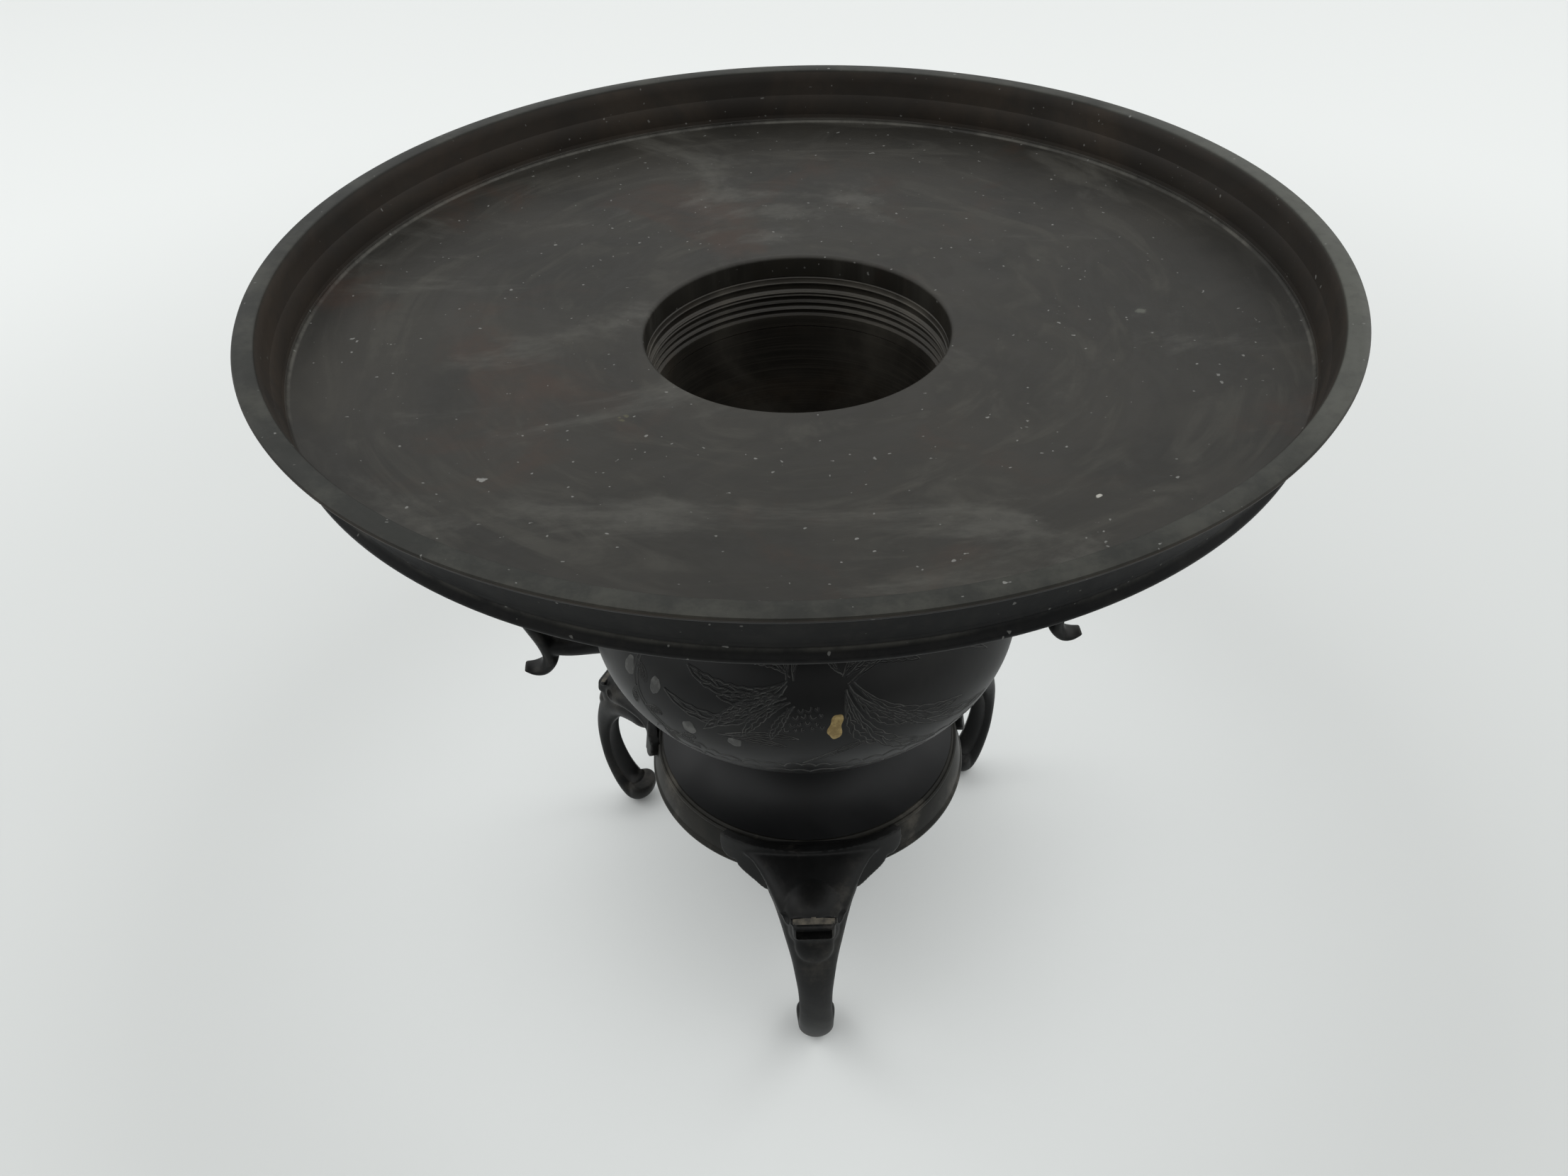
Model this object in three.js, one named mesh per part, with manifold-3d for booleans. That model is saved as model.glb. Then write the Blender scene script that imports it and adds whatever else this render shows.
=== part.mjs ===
// Footed bronze flower vessel: a wide shallow dish that lifts off and turns on the mouth of a
// squat two-handled bowl, on a trumpet pedestal with three beast-headed legs.
// Millimetres, +Z up, the floor is z = 0 and the vertical axis of the vessel is x = y = 0.

import * as THREE from 'three';
import { mergeVertices } from 'three/addons/utils/BufferGeometryUtils.js';
import Module from 'manifold-3d';

const wasm = await Module();
wasm.setup();

// Driving dimensions.
const GAP = 0.3; // left between faces that touch
const RIM_R = 150; // outer edge of the dish
const RIM_Z = 260; // height of the dish's lip
const RIM_BAND = 5.1; // width of the flat lip
const FLOOR_R = 140.5; // foot of the dish's inner wall
const FLOOR_Z = 242.6;
const BASE_R = 141.9; // lowest outer edge of the dish
const BASE_Z = 241.1;
const THROAT_R = 43.9; // hole in the middle of the dish
const THROAT_Z = 237.9;
const SEAT_R = 46.6; // socket that the throat ring and the dish's spigot sit in
const SEAT_Z = 233; // underside of the dish where it rests
const NECK_TOP = 222;
const NECK_FOOT = 170.1;
const NECK_R = 48.9; // neck where it meets the bowl
const BORE_R = 42.9; // inside of the neck
const RING_STEP = 214; // shoulder in the neck that carries the throat ring
const BOWL_R = 70.8; // belly radius, half height and centre of the bowl
const BOWL_H = 43.8;
const BOWL_Z = 138.1;
const BOWL_WALL = 3.2;
const BOWL_TOP = 169.8; // where the bowl is cut for the neck
const BOWL_FOOT = 99; // flat underside of the bowl
const WAIST_TOP = BOWL_FOOT - GAP;
const PEDESTAL_TOP = 93;
const PEDESTAL_FOOT = 73;
const PEDESTAL_R = 32.2;
const SKIRT_R = 52.6; // pedestal where it meets the foot ring
const FOOT_TOP = PEDESTAL_FOOT - GAP;
const FOOT_Z = 59.3; // underside of the foot ring
const FOOT_R = 57;
const CORE_R = 10.5; // core hole in the bottom of the bowl
const FOOT_CONTACT_R = 77.8; // circle on which the feet touch the floor
const LEG_AZIMUTHS = { front: -89.5, right: 34.5, left: 155 };
const HANDLE_AZIMUTHS = { right: 3.5, left: 183.5 };
const ROUND = 36; // sides of a full turn
const ROUND_DISH = 48;
const ROUND_RING = 32;

// Finishes.
function bronze(color, roughness, metalness = 0.6) {
  return new THREE.MeshStandardMaterial({ color, roughness, metalness });
}
const DISH_BRONZE = bronze(0x4a4741, 0.6);
const BODY_BRONZE = bronze(0x2c2b29, 0.5);
const LEG_BRONZE = bronze(0x232424, 0.5);
const RING_BRONZE = bronze(0x35312b, 0.5);
const GOLD = bronze(0x8a6a35, 0.4, 1);
const SILVER = bronze(0x6b6a64, 0.45, 1);

const object = new THREE.Group();

function addPart(name, geometry, material, parent = object) {
  const mesh = new THREE.Mesh(geometry, material);
  mesh.name = name;
  parent.add(mesh);
  return mesh;
}

// A geometry with its shared vertices merged, so that it is one closed surface.
function closed(geometry) {
  const bare = geometry.index ? geometry : geometry.clone();
  bare.deleteAttribute('normal');
  bare.deleteAttribute('uv');
  return mergeVertices(bare, 1e-4);
}

function solidOf(geometry) {
  const g = closed(geometry);
  const mesh = new wasm.Mesh({
    numProp: 3,
    vertProperties: new Float32Array(g.attributes.position.array),
    triVerts: new Uint32Array(g.index.array),
  });
  return new wasm.Manifold(mesh);
}

function geometryOf(solid) {
  const mesh = solid.getMesh();
  const g = new THREE.BufferGeometry();
  g.setAttribute('position', new THREE.BufferAttribute(new Float32Array(mesh.vertProperties), 3));
  g.setIndex(new THREE.BufferAttribute(new Uint32Array(mesh.triVerts), 1));
  g.computeVertexNormals();
  return g;
}

// Turns an outline of [radius, height] points about the vertical axis. The outline runs up the
// outside and down the inside.
function turned(outline, sides = ROUND) {
  const onAxis = outline[0][0] === 0;
  const points = outline.map(([r, z]) => new THREE.Vector2(r, z));
  if (!onAxis) points.push(points[0].clone());
  return closed(new THREE.LatheGeometry(points, sides).rotateX(Math.PI / 2));
}

function degrees(angle) {
  return (angle * Math.PI) / 180;
}

// Points of an arc of an ellipse in the radius-height plane.
function arc(centre, radii, fromDeg, toDeg, steps) {
  const points = [];
  for (let i = 0; i <= steps; i += 1) {
    const t = degrees(fromDeg + ((toDeg - fromDeg) * i) / steps);
    points.push([centre[0] + radii[0] * Math.cos(t), centre[1] + radii[1] * Math.sin(t)]);
  }
  return points;
}

// Angle, in degrees, at which an ellipse's arc passes a height.
function angleAt(z, centreZ, halfHeight) {
  return (Math.asin((z - centreZ) / halfHeight) * 180) / Math.PI;
}

// A bar with flat-sided oval sections along a path in the XZ plane. Each station is
// { at: [x, z], half: [along Y, across the path] }.
function bar(stations, sides = 10) {
  const positions = [];
  const index = [];
  stations.forEach(({ at, half }, i) => {
    const before = stations[Math.max(i - 1, 0)].at;
    const after = stations[Math.min(i + 1, stations.length - 1)].at;
    const run = Math.hypot(after[0] - before[0], after[1] - before[1]);
    const normal = [-(after[1] - before[1]) / run, (after[0] - before[0]) / run];
    for (let k = 0; k < sides; k += 1) {
      const a = (2 * Math.PI * (k + 0.5)) / sides;
      const across = half[1] * Math.sign(Math.sin(a)) * Math.abs(Math.sin(a)) ** 0.8;
      const wide = half[0] * Math.sign(Math.cos(a)) * Math.abs(Math.cos(a)) ** 0.8;
      positions.push(at[0] + normal[0] * across, wide, at[1] + normal[1] * across);
    }
  });
  const last = (stations.length - 1) * sides;
  for (let i = 0; i + 1 < stations.length; i += 1) {
    for (let k = 0; k < sides; k += 1) {
      const a = i * sides + k;
      const b = i * sides + ((k + 1) % sides);
      index.push(a, b, a + sides);
      index.push(b, b + sides, a + sides);
    }
  }
  for (let k = 1; k + 1 < sides; k += 1) {
    index.push(0, k + 1, k);
    index.push(last, last + k, last + k + 1);
  }
  const g = new THREE.BufferGeometry();
  g.setAttribute('position', new THREE.Float32BufferAttribute(positions, 3));
  g.setIndex(index);
  return g;
}

// Stations along a smooth curve through a few given ones.
function smoothStations(given, steps) {
  const path = new THREE.CatmullRomCurve3(given.map(({ at }) => new THREE.Vector3(at[0], 0, at[1])));
  const sizes = new THREE.CatmullRomCurve3(given.map(({ half }) => new THREE.Vector3(half[0], 0, half[1])));
  const stations = [];
  for (let i = 0; i <= steps; i += 1) {
    const p = path.getPoint(i / steps);
    const s = sizes.getPoint(i / steps);
    stations.push({ at: [p.x, p.z], half: [s.x, s.z] });
  }
  return stations;
}

// Dish: lip, moulded outer wall, gently dished floor and the short spigot round its hole.
function dishPan() {
  const cavettoFoot = 244.5;
  const wallFoot = BASE_R - 0.7;
  const outline = [
    [SEAT_R - 0.4, SEAT_Z - 1.7],
    [SEAT_R - 0.4, SEAT_Z],
    [60, SEAT_Z],
    [67, 235],
    [100, 236.4],
    [128, 237.6],
    [138, 238.6],
    [BASE_R - 0.7, 239.8],
    [BASE_R, BASE_Z],
    [BASE_R, 243.2],
    [wallFoot - 0.4, 243.8],
    ...arc([RIM_R - 0.6, cavettoFoot], [RIM_R - 0.6 - wallFoot, 13], 180, 95, 5),
    [RIM_R + 0.4, RIM_Z - 1.4],
    [RIM_R, RIM_Z],
    [RIM_R - RIM_BAND, RIM_Z + 0.7],
    [RIM_R - RIM_BAND - 0.8, RIM_Z],
    [FLOOR_R + 0.6, FLOOR_Z + 1.2],
    [FLOOR_R - 0.6, FLOOR_Z],
    [128, 241.7],
    [100, 240.2],
    [70, 239],
    [THROAT_R + 1, THROAT_Z + 0.1],
    [THROAT_R, THROAT_Z - 0.8],
    [THROAT_R, SEAT_Z - 1.7],
  ];
  return turned(outline, ROUND_DISH);
}

// Loose ring with turned ridges that lines the throat below the dish.
function throatRing() {
  const top = SEAT_Z - 1.7 - GAP;
  const foot = RING_STEP + GAP;
  const ridges = [
    { z: 229.1, half: 0.3, out: 0.6 },
    { z: 225.4, half: 0.9, out: 0.9 },
    { z: 222.4, half: 0.3, out: 0.7 },
    { z: 220.1, half: 0.3, out: 0.8 },
  ];
  const outline = [[SEAT_R - 0.4, foot], [SEAT_R - 0.4, top], [THROAT_R, top]];
  for (const { z, half, out } of ridges) {
    outline.push([THROAT_R, z + half + 0.4]);
    outline.push([THROAT_R - out, z + half]);
    if (half > 0.5) outline.push([THROAT_R - out, z - half]);
    outline.push([THROAT_R, z - half - 0.4]);
  }
  outline.push([THROAT_R, 218.4], [BORE_R, 217.9], [BORE_R, foot]);
  return turned(outline, ROUND_RING);
}

// Flared collar on the neck that the dish rests on.
function mouthRing() {
  const top = SEAT_Z - GAP;
  const foot = NECK_TOP + GAP;
  return turned([
    [SEAT_R, foot],
    [52, foot],
    [53.2, 224.2],
    ...arc([61, 224.6], [7, 6], 180, 110, 3),
    [60, 231.2],
    [60, top],
    [SEAT_R, top],
  ], ROUND_RING);
}

// Waisted neck, bored through, with a step inside for the throat ring.
function neck() {
  return turned([
    [BORE_R, NECK_FOOT],
    [NECK_R, NECK_FOOT],
    [NECK_R, 176],
    ...arc([NECK_R + 6, 198], [7.6, 21], 225, 135, 6),
    [51.6, 217],
    [52, NECK_TOP],
    [SEAT_R, NECK_TOP],
    [SEAT_R, RING_STEP],
    [BORE_R, RING_STEP],
  ], ROUND_RING);
}

// Radius of the bowl's outside at a height, with an allowance.
function bowlRadius(z, extra = 0) {
  const s = (z - BOWL_Z) / (BOWL_H + extra);
  return (BOWL_R + extra) * Math.sqrt(1 - s * s);
}

// Moulding round the root of the neck, bedded on the bowl's shoulder.
function shoulderRing() {
  const inner = NECK_R + 0.4;
  const outer = 54;
  return turned([
    [inner, bowlTopAt(inner) + 0.35],
    [outer, bowlTopAt(outer) + 0.35],
    ...arc([outer - 0.4, 170.6], [2, 2.4], -50, 60, 4),
    [51.4, 173.4],
    [50.6, 175],
    [inner, 175],
  ], ROUND_RING);
}

// Height of the bowl's shoulder at a radius.
function bowlTopAt(r) {
  const s = r / BOWL_R;
  return BOWL_Z + BOWL_H * Math.sqrt(1 - s * s);
}

// Hollow squat bowl with a core hole in its bottom.
function bowl() {
  const centre = [0, BOWL_Z];
  const inside = [BOWL_R - BOWL_WALL, BOWL_H - BOWL_WALL];
  const floor = BOWL_FOOT + BOWL_WALL;
  const outerFrom = angleAt(BOWL_FOOT, BOWL_Z, BOWL_H);
  const outerTo = angleAt(BOWL_TOP, BOWL_Z, BOWL_H);
  const innerTo = angleAt(floor, BOWL_Z, inside[1]);
  const innerFrom = 50;
  return turned([
    [CORE_R, BOWL_FOOT],
    ...arc(centre, [BOWL_R, BOWL_H], outerFrom, outerTo, 13),
    [BORE_R, BOWL_TOP],
    ...arc(centre, inside, innerFrom, innerTo, 9),
    [CORE_R, floor],
  ]);
}

// Plug that closes the core hole from below.
function bowlPlug() {
  return turned([
    [0, 95.5],
    [12.2, 95.5],
    [13, 96.3],
    [13, BOWL_FOOT - GAP],
    [CORE_R - GAP, BOWL_FOOT - GAP],
    [CORE_R - GAP, BOWL_FOOT + BOWL_WALL],
    [0, BOWL_FOOT + BOWL_WALL],
  ], 24);
}

// Rounded moulding between the bowl and the pedestal.
function waistRing() {
  const foot = PEDESTAL_TOP + GAP;
  return turned([
    [25, foot],
    ...arc([33.4, (foot + WAIST_TOP) / 2], [3.2, (WAIST_TOP - foot) / 2], -90, 90, 6),
    [25, WAIST_TOP],
  ], ROUND_RING);
}

// Trumpet pedestal, flaring to a flat foot.
function pedestal() {
  const sweep = 70;
  const wide = (SKIRT_R - PEDESTAL_R) / (1 - Math.cos(degrees(sweep)));
  const tall = (PEDESTAL_TOP - PEDESTAL_FOOT) / Math.sin(degrees(sweep));
  const wall = 3;
  const outer = arc([PEDESTAL_R + wide, PEDESTAL_TOP], [wide, tall], 180 + sweep, 180, 7);
  const innerCurve = arc([PEDESTAL_R + wide, PEDESTAL_TOP], [wide + wall, tall + wall], 180, 180 + sweep, 7);
  const inner = innerCurve.filter(([, z]) => z > PEDESTAL_FOOT + 1.5);
  return turned([
    [inner[inner.length - 1][0] + 3, PEDESTAL_FOOT],
    ...outer,
    ...inner,
  ]);
}

// Foot ring under the pedestal, with a raised upper edge and a bead near its base.
function footRing() {
  return turned([
    [49.5, FOOT_Z],
    [FOOT_R, FOOT_Z],
    [FOOT_R + 0.1, FOOT_Z + 1.4],
    [FOOT_R - 0.5, FOOT_Z + 2.4],
    [FOOT_R - 0.4, FOOT_Z + 3.1],
    [54.5, 70.6],
    [54.2, 71.3],
    [53.9, 72.2],
    [52.9, FOOT_TOP],
    [49.5, FOOT_TOP],
  ]);
}

// Outline of a leg's ear plate seen from outside: a flat top, a rounded ear at each end and
// scalloped lower edges.
function earOutline() {
  const right = [[31, 73], [31.4, 69.6], [29.4, 66.6], [26, 65.4], [25, 62.6], [20.6, 59.4], [15.5, 56.3],
    [13, 54.6]];
  const shape = new THREE.Shape();
  shape.moveTo(0, 73.8);
  shape.lineTo(30, 73.8);
  for (const [x, z] of right) shape.lineTo(x, z);
  for (const [x, z] of right.slice().reverse()) shape.lineTo(-x, z);
  shape.lineTo(-30, 73.8);
  return shape;
}

// Curved plate that clasps the foot ring, for a leg that points along +X.
function earPlate() {
  const clasp = solidOf(turned([
    [57.6, 52],
    [61, 52],
    [60.4, 64],
    [58.6, 72.6],
    [57.2, 74],
    [54.5, 74],
    [54.5, 71.8],
    [55.2, 70.4],
    [57.1, 62.6],
    [57.6, 61],
  ]));
  const outline = new THREE.ExtrudeGeometry(earOutline(), { depth: 60, bevelEnabled: false });
  outline.rotateX(Math.PI / 2).rotateZ(Math.PI / 2).translate(30, 0, 0);
  return clasp.intersect(solidOf(outline));
}

// One leg: ear plate, beast's head with a domed snout, and the trunk that curls under.
function leg() {
  const trunk = smoothStations([
    { at: [58.6, 63], half: [15, 7.2] },
    { at: [64, 62.8], half: [14.8, 7.5] },
    { at: [69.4, 62], half: [13, 7.7] },
    { at: [75, 60.6], half: [11.2, 7.6] },
    { at: [79.8, 57.4], half: [9.5, 6.9] },
    { at: [84, 51.6], half: [7.6, 5.5] },
    { at: [87, 45], half: [6.4, 4.1] },
    { at: [88.4, 38], half: [5.6, 3.3] },
    { at: [88.5, 30], half: [5.4, 3] },
    { at: [87.4, 22], half: [5.6, 3.1] },
    { at: [84.9, 14], half: [5.8, 3.4] },
    { at: [81.6, 8], half: [6.1, 4.3] },
    { at: [FOOT_CONTACT_R, 4], half: [6.4, 4.9] },
    { at: [76.2, 6.4], half: [6.5, 5] },
    { at: [75.2, 9], half: [6.3, 4.6] },
  ], 22);
  const brow = smoothStations([
    { at: [57.6, 69.9], half: [20.6, 3.1] },
    { at: [60.5, 69.6], half: [18.8, 3.3] },
    { at: [64, 69], half: [16.8, 3.7] },
    { at: [68, 68.4], half: [14.8, 4] },
    { at: [72, 67.6], half: [13, 4.2] },
    { at: [76, 66], half: [11.2, 4.3] },
  ], 5);
  const forehead = new THREE.SphereGeometry(1, 12, 8);
  forehead.scale(9, 10.2, 8.2);
  forehead.translate(75.2, 0, 65);
  const muzzle = new THREE.SphereGeometry(1, 12, 8);
  muzzle.scale(6.6, 8, 7.4);
  muzzle.translate(80.2, 0, 62.2);
  const room = solidOf(turned([[0, 52], [57.4, 52], [57.4, 61.5], [54.6, 71], [54.6, 90], [0, 90]]));
  const block = new THREE.BoxGeometry(200, 200, 100).translate(0, 0, 50);
  const head = solidOf(bar(brow)).add(solidOf(forehead)).add(solidOf(muzzle));
  const solid = solidOf(bar(trunk)).add(head).add(earPlate()).subtract(room);
  return geometryOf(solid.intersect(solidOf(block)).subtract(pinHole('leg')));
}

// A round pin along X, or the hole it sits in, which is wider all round by the gap.
const PINS = {
  leg: { from: 50.5, to: 63, z: 67, r: 2 },
  upper: { from: 43.5, to: 56, z: 205.5, r: 2 },
  lower: { from: 64, to: 76, z: 122.5, r: 2 },
};

function pinShape(kind, extra) {
  const { from, to, z, r } = PINS[kind];
  const shape = new THREE.CylinderGeometry(r + extra, r + extra, to - from + 2 * extra, 8);
  return shape.rotateZ(Math.PI / 2).translate((from + to) / 2, 0, z);
}

function pinHole(kind, azimuth = 0) {
  return solidOf(pinShape(kind, GAP).rotateZ(degrees(azimuth)));
}

// Scroll handle for the +X side: a strut on the belly, a bar with a curled spur, and an arch that
// returns to the neck.
function handle() {
  const arch = smoothStations([
    { at: [47, 205.5], half: [5, 4.4] },
    { at: [56, 206.5], half: [4.6, 3.8] },
    { at: [70, 208], half: [4.2, 3.4] },
    { at: [86, 203], half: [4.2, 3.3] },
    { at: [97, 190], half: [4.4, 3.3] },
    { at: [101, 172], half: [4.8, 3.3] },
    { at: [98.6, 154], half: [5.2, 3.3] },
    { at: [93.2, 137], half: [5.4, 3.2] },
    { at: [88.6, 125], half: [5.2, 3.1] },
    { at: [87.2, 117.4], half: [5, 2.9] },
    { at: [89.4, 112.6], half: [4.6, 2.2] },
    { at: [93.2, 111.4], half: [3.8, 1.6] },
    { at: [96.8, 112.3], half: [2.6, 0.8] },
  ], 26);
  const strut = smoothStations([
    { at: [60, 122.6], half: [5.6, 4.6] },
    { at: [70, 122.4], half: [5.2, 4.4] },
    { at: [80, 121.6], half: [5, 3.8] },
    { at: [88, 122.4], half: [4.6, 3.4] },
  ], 6);
  const around = [BOWL_R + GAP + 0.1, BOWL_H + GAP + 0.1];
  const body = solidOf(turned([[0, BOWL_Z - around[1]], ...arc([0, BOWL_Z], around, -80, 80, 20),
    [0, BOWL_Z + around[1]]]));
  const stem = solidOf(turned([[0, 196], [48.5, 196], [49, 204], [50.8, 213], [0, 213]]));
  const solid = solidOf(bar(arch)).add(solidOf(bar(strut))).subtract(body).subtract(stem);
  return geometryOf(solid.subtract(pinHole('upper')).subtract(pinHole('lower')));
}

// Thin inlaid patch bedded on the bowl: an oval lying at an azimuth and a height.
function inlay(azimuth, z, wide, tall, turn) {
  const low = 0.35;
  const high = 0.9;
  const steps = 14;
  const shell = solidOf(turned([
    ...arc([0, BOWL_Z], [BOWL_R + high, BOWL_H + high], -50, 60, steps),
    ...arc([0, BOWL_Z], [BOWL_R + low, BOWL_H + low], 60, -50, steps),
  ], ROUND * 2));
  const oval = new THREE.CylinderGeometry(1, 1, 40, 14);
  oval.scale(wide / 2, 1, tall / 2);
  oval.rotateY(degrees(turn));
  oval.rotateZ(Math.PI / 2);
  const lean = Math.atan2((z - BOWL_Z) / BOWL_H ** 2, bowlRadius(z) / BOWL_R ** 2);
  oval.rotateY(-lean);
  oval.translate(bowlRadius(z), 0, z);
  oval.rotateZ(degrees(azimuth));
  return geometryOf(shell.intersect(solidOf(oval)));
}

// The fixed body, the ring and the dish.
addPart('dish_pan', dishPan(), DISH_BRONZE);
addPart('throat_ring', throatRing(), RING_BRONZE);
addPart('mouth_ring', mouthRing(), RING_BRONZE);
addPart('shoulder_ring', shoulderRing(), RING_BRONZE);
addPart('bowl_plug', bowlPlug(), RING_BRONZE);
addPart('waist_ring', waistRing(), RING_BRONZE);
addPart('pedestal', pedestal(), BODY_BRONZE);

let neckSolid = solidOf(neck());
let bowlSolid = solidOf(bowl());
let footSolid = solidOf(footRing());

for (const [side, azimuth] of Object.entries(HANDLE_AZIMUTHS)) {
  const turn = degrees(azimuth);
  addPart(`handle_${side}`, handle(), BODY_BRONZE).rotation.z = turn;
  for (const kind of ['upper', 'lower']) {
    addPart(`handle_pin_${side}_${kind}`, pinShape(kind, 0), RING_BRONZE).rotation.z = turn;
  }
  neckSolid = neckSolid.subtract(pinHole('upper', azimuth));
  bowlSolid = bowlSolid.subtract(pinHole('lower', azimuth));
}

for (const [side, azimuth] of Object.entries(LEG_AZIMUTHS)) {
  const turn = degrees(azimuth);
  addPart(`leg_${side}`, leg(), LEG_BRONZE).rotation.z = turn;
  addPart(`leg_pin_${side}`, pinShape('leg', 0), RING_BRONZE).rotation.z = turn;
  footSolid = footSolid.subtract(pinHole('leg', azimuth));
}

addPart('neck', geometryOf(neckSolid), BODY_BRONZE);
addPart('bowl', geometryOf(bowlSolid), BODY_BRONZE);
addPart('foot_ring', geometryOf(footSolid), RING_BRONZE);

const INLAYS = [
  { name: 'gold_inlay', azimuth: -83, z: 145, wide: 5.4, tall: 8.4, turn: -8, finish: GOLD },
  { name: 'silver_inlay_1', azimuth: -141, z: 147.5, wide: 4.6, tall: 6, turn: 6, finish: SILVER },
  { name: 'silver_inlay_2', azimuth: -131, z: 147, wide: 4, tall: 5.6, turn: -6, finish: SILVER },
  { name: 'silver_inlay_3', azimuth: -120, z: 138, wide: 5.4, tall: 4.8, turn: 20, finish: SILVER },
  { name: 'silver_inlay_4', azimuth: -107.7, z: 137.6, wide: 5, tall: 3.4, turn: -10, finish: SILVER },
];
for (const { name, azimuth, z, wide, tall, turn, finish } of INLAYS) {
  addPart(name, inlay(azimuth, z, wide, tall, turn), finish);
}

export default object;
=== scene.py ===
"""Looks of a footed bronze flower vessel: dish, throat, engraved bowl, handles, pedestal, legs."""

import logging
import math
import random
from dataclasses import dataclass, field
from enum import Enum
from itertools import pairwise

import bpy
from mathutils import Matrix, Vector

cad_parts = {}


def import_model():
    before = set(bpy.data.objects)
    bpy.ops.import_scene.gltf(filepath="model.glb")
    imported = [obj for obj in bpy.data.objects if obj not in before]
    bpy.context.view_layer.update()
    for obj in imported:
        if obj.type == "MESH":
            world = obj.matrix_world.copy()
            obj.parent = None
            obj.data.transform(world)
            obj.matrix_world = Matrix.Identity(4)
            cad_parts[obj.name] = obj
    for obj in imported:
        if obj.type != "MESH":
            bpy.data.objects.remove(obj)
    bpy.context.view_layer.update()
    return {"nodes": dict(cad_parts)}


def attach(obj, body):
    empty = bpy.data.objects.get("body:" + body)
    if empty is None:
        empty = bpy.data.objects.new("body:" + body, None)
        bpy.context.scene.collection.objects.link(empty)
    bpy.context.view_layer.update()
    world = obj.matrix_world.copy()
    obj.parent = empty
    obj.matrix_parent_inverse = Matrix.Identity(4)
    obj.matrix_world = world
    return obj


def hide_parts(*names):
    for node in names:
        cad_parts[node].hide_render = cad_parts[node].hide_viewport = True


MM = 0.001
FINE = 192  # sides of a full turn on the small turned parts
WIDE = 288  # sides of a full turn on the dish
SMOOTH_ANGLE = math.radians(32)
SEED = 7

Point = tuple[float, float]
Triple = tuple[float, float, float]
log = logging.getLogger("vessel")


class Body(Enum):
    """The moving bodies that the pieces ride on."""

    VESSEL = "vessel"
    RING = "ring"
    DISH = "dish"


class Slot(Enum):
    """The record's material slots."""

    DISH = "dish_bronze"
    BODY = "body_bronze"
    LEG = "leg_bronze"
    RING = "ring_bronze"
    GOLD = "gold"
    SILVER = "silver"


# ---------------------------------------------------------------- outlines


def arc(centre: Point, radii: Point, start: float, stop: float, steps: int) -> list[Point]:
    """Points along an ellipse's arc.

    Args:
        centre: middle of the ellipse.
        radii: its half width and half height.
        start: first angle in degrees.
        stop: last angle in degrees.
        steps: number of segments.

    Returns:
        The points, both ends among them.
    """
    turns = [math.radians(start + (stop - start) * i / steps) for i in range(steps + 1)]
    return [(centre[0] + radii[0] * math.cos(a), centre[1] + radii[1] * math.sin(a)) for a in turns]


def flow(points: list[tuple[float, ...]], steps: int) -> list[tuple[float, ...]]:
    """A smooth line through points of any dimension.

    Args:
        points: what the line passes through, in order.
        steps: segments between one point and the next.

    Returns:
        The points of the smooth line.
    """
    line = [points[0]]
    for i in range(len(points) - 1):
        before = points[max(i - 1, 0)]
        a, b = points[i], points[i + 1]
        after = points[min(i + 2, len(points) - 1)]
        for k in range(1, steps + 1):
            t = k / steps
            line.append(tuple(
                0.5 * (2 * q + (r - p) * t + (2 * p - 5 * q + 4 * r - s) * t * t
                       + (3 * q - p - 3 * r + s) * t ** 3)
                for p, q, r, s in zip(before, a, b, after)
            ))
    return line


# ---------------------------------------------------------------- modelling


def deselect() -> None:
    """Goes to object mode with nothing selected."""
    if bpy.context.object and bpy.context.object.mode != "OBJECT":
        bpy.ops.object.mode_set(mode="OBJECT")
    bpy.ops.object.select_all(action="DESELECT")


def only(piece: bpy.types.Object) -> None:
    """Makes one piece the selected and active one."""
    deselect()
    piece.select_set(True)
    bpy.context.view_layer.objects.active = piece


def settle(piece: bpy.types.Object) -> None:
    """Puts the piece's place, turn and size into its mesh."""
    only(piece)
    bpy.ops.object.transform_apply(location=True, rotation=True, scale=True)


def apply(piece: bpy.types.Object, kind: str, **values: object) -> None:
    """Adds a modifier and applies it.

    Args:
        piece: what it works on.
        kind: the modifier's type.
        **values: its settings.
    """
    only(piece)
    modifier = piece.modifiers.new(kind.title(), kind)
    for key, value in values.items():
        setattr(modifier, key, value)
    bpy.ops.object.modifier_apply(modifier=modifier.name)


def shade(piece: bpy.types.Object, angle: float = SMOOTH_ANGLE) -> None:
    """Shades a piece smooth, with edges sharper than the angle left crisp."""
    only(piece)
    bpy.ops.object.shade_smooth_by_angle(angle=angle)


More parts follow.
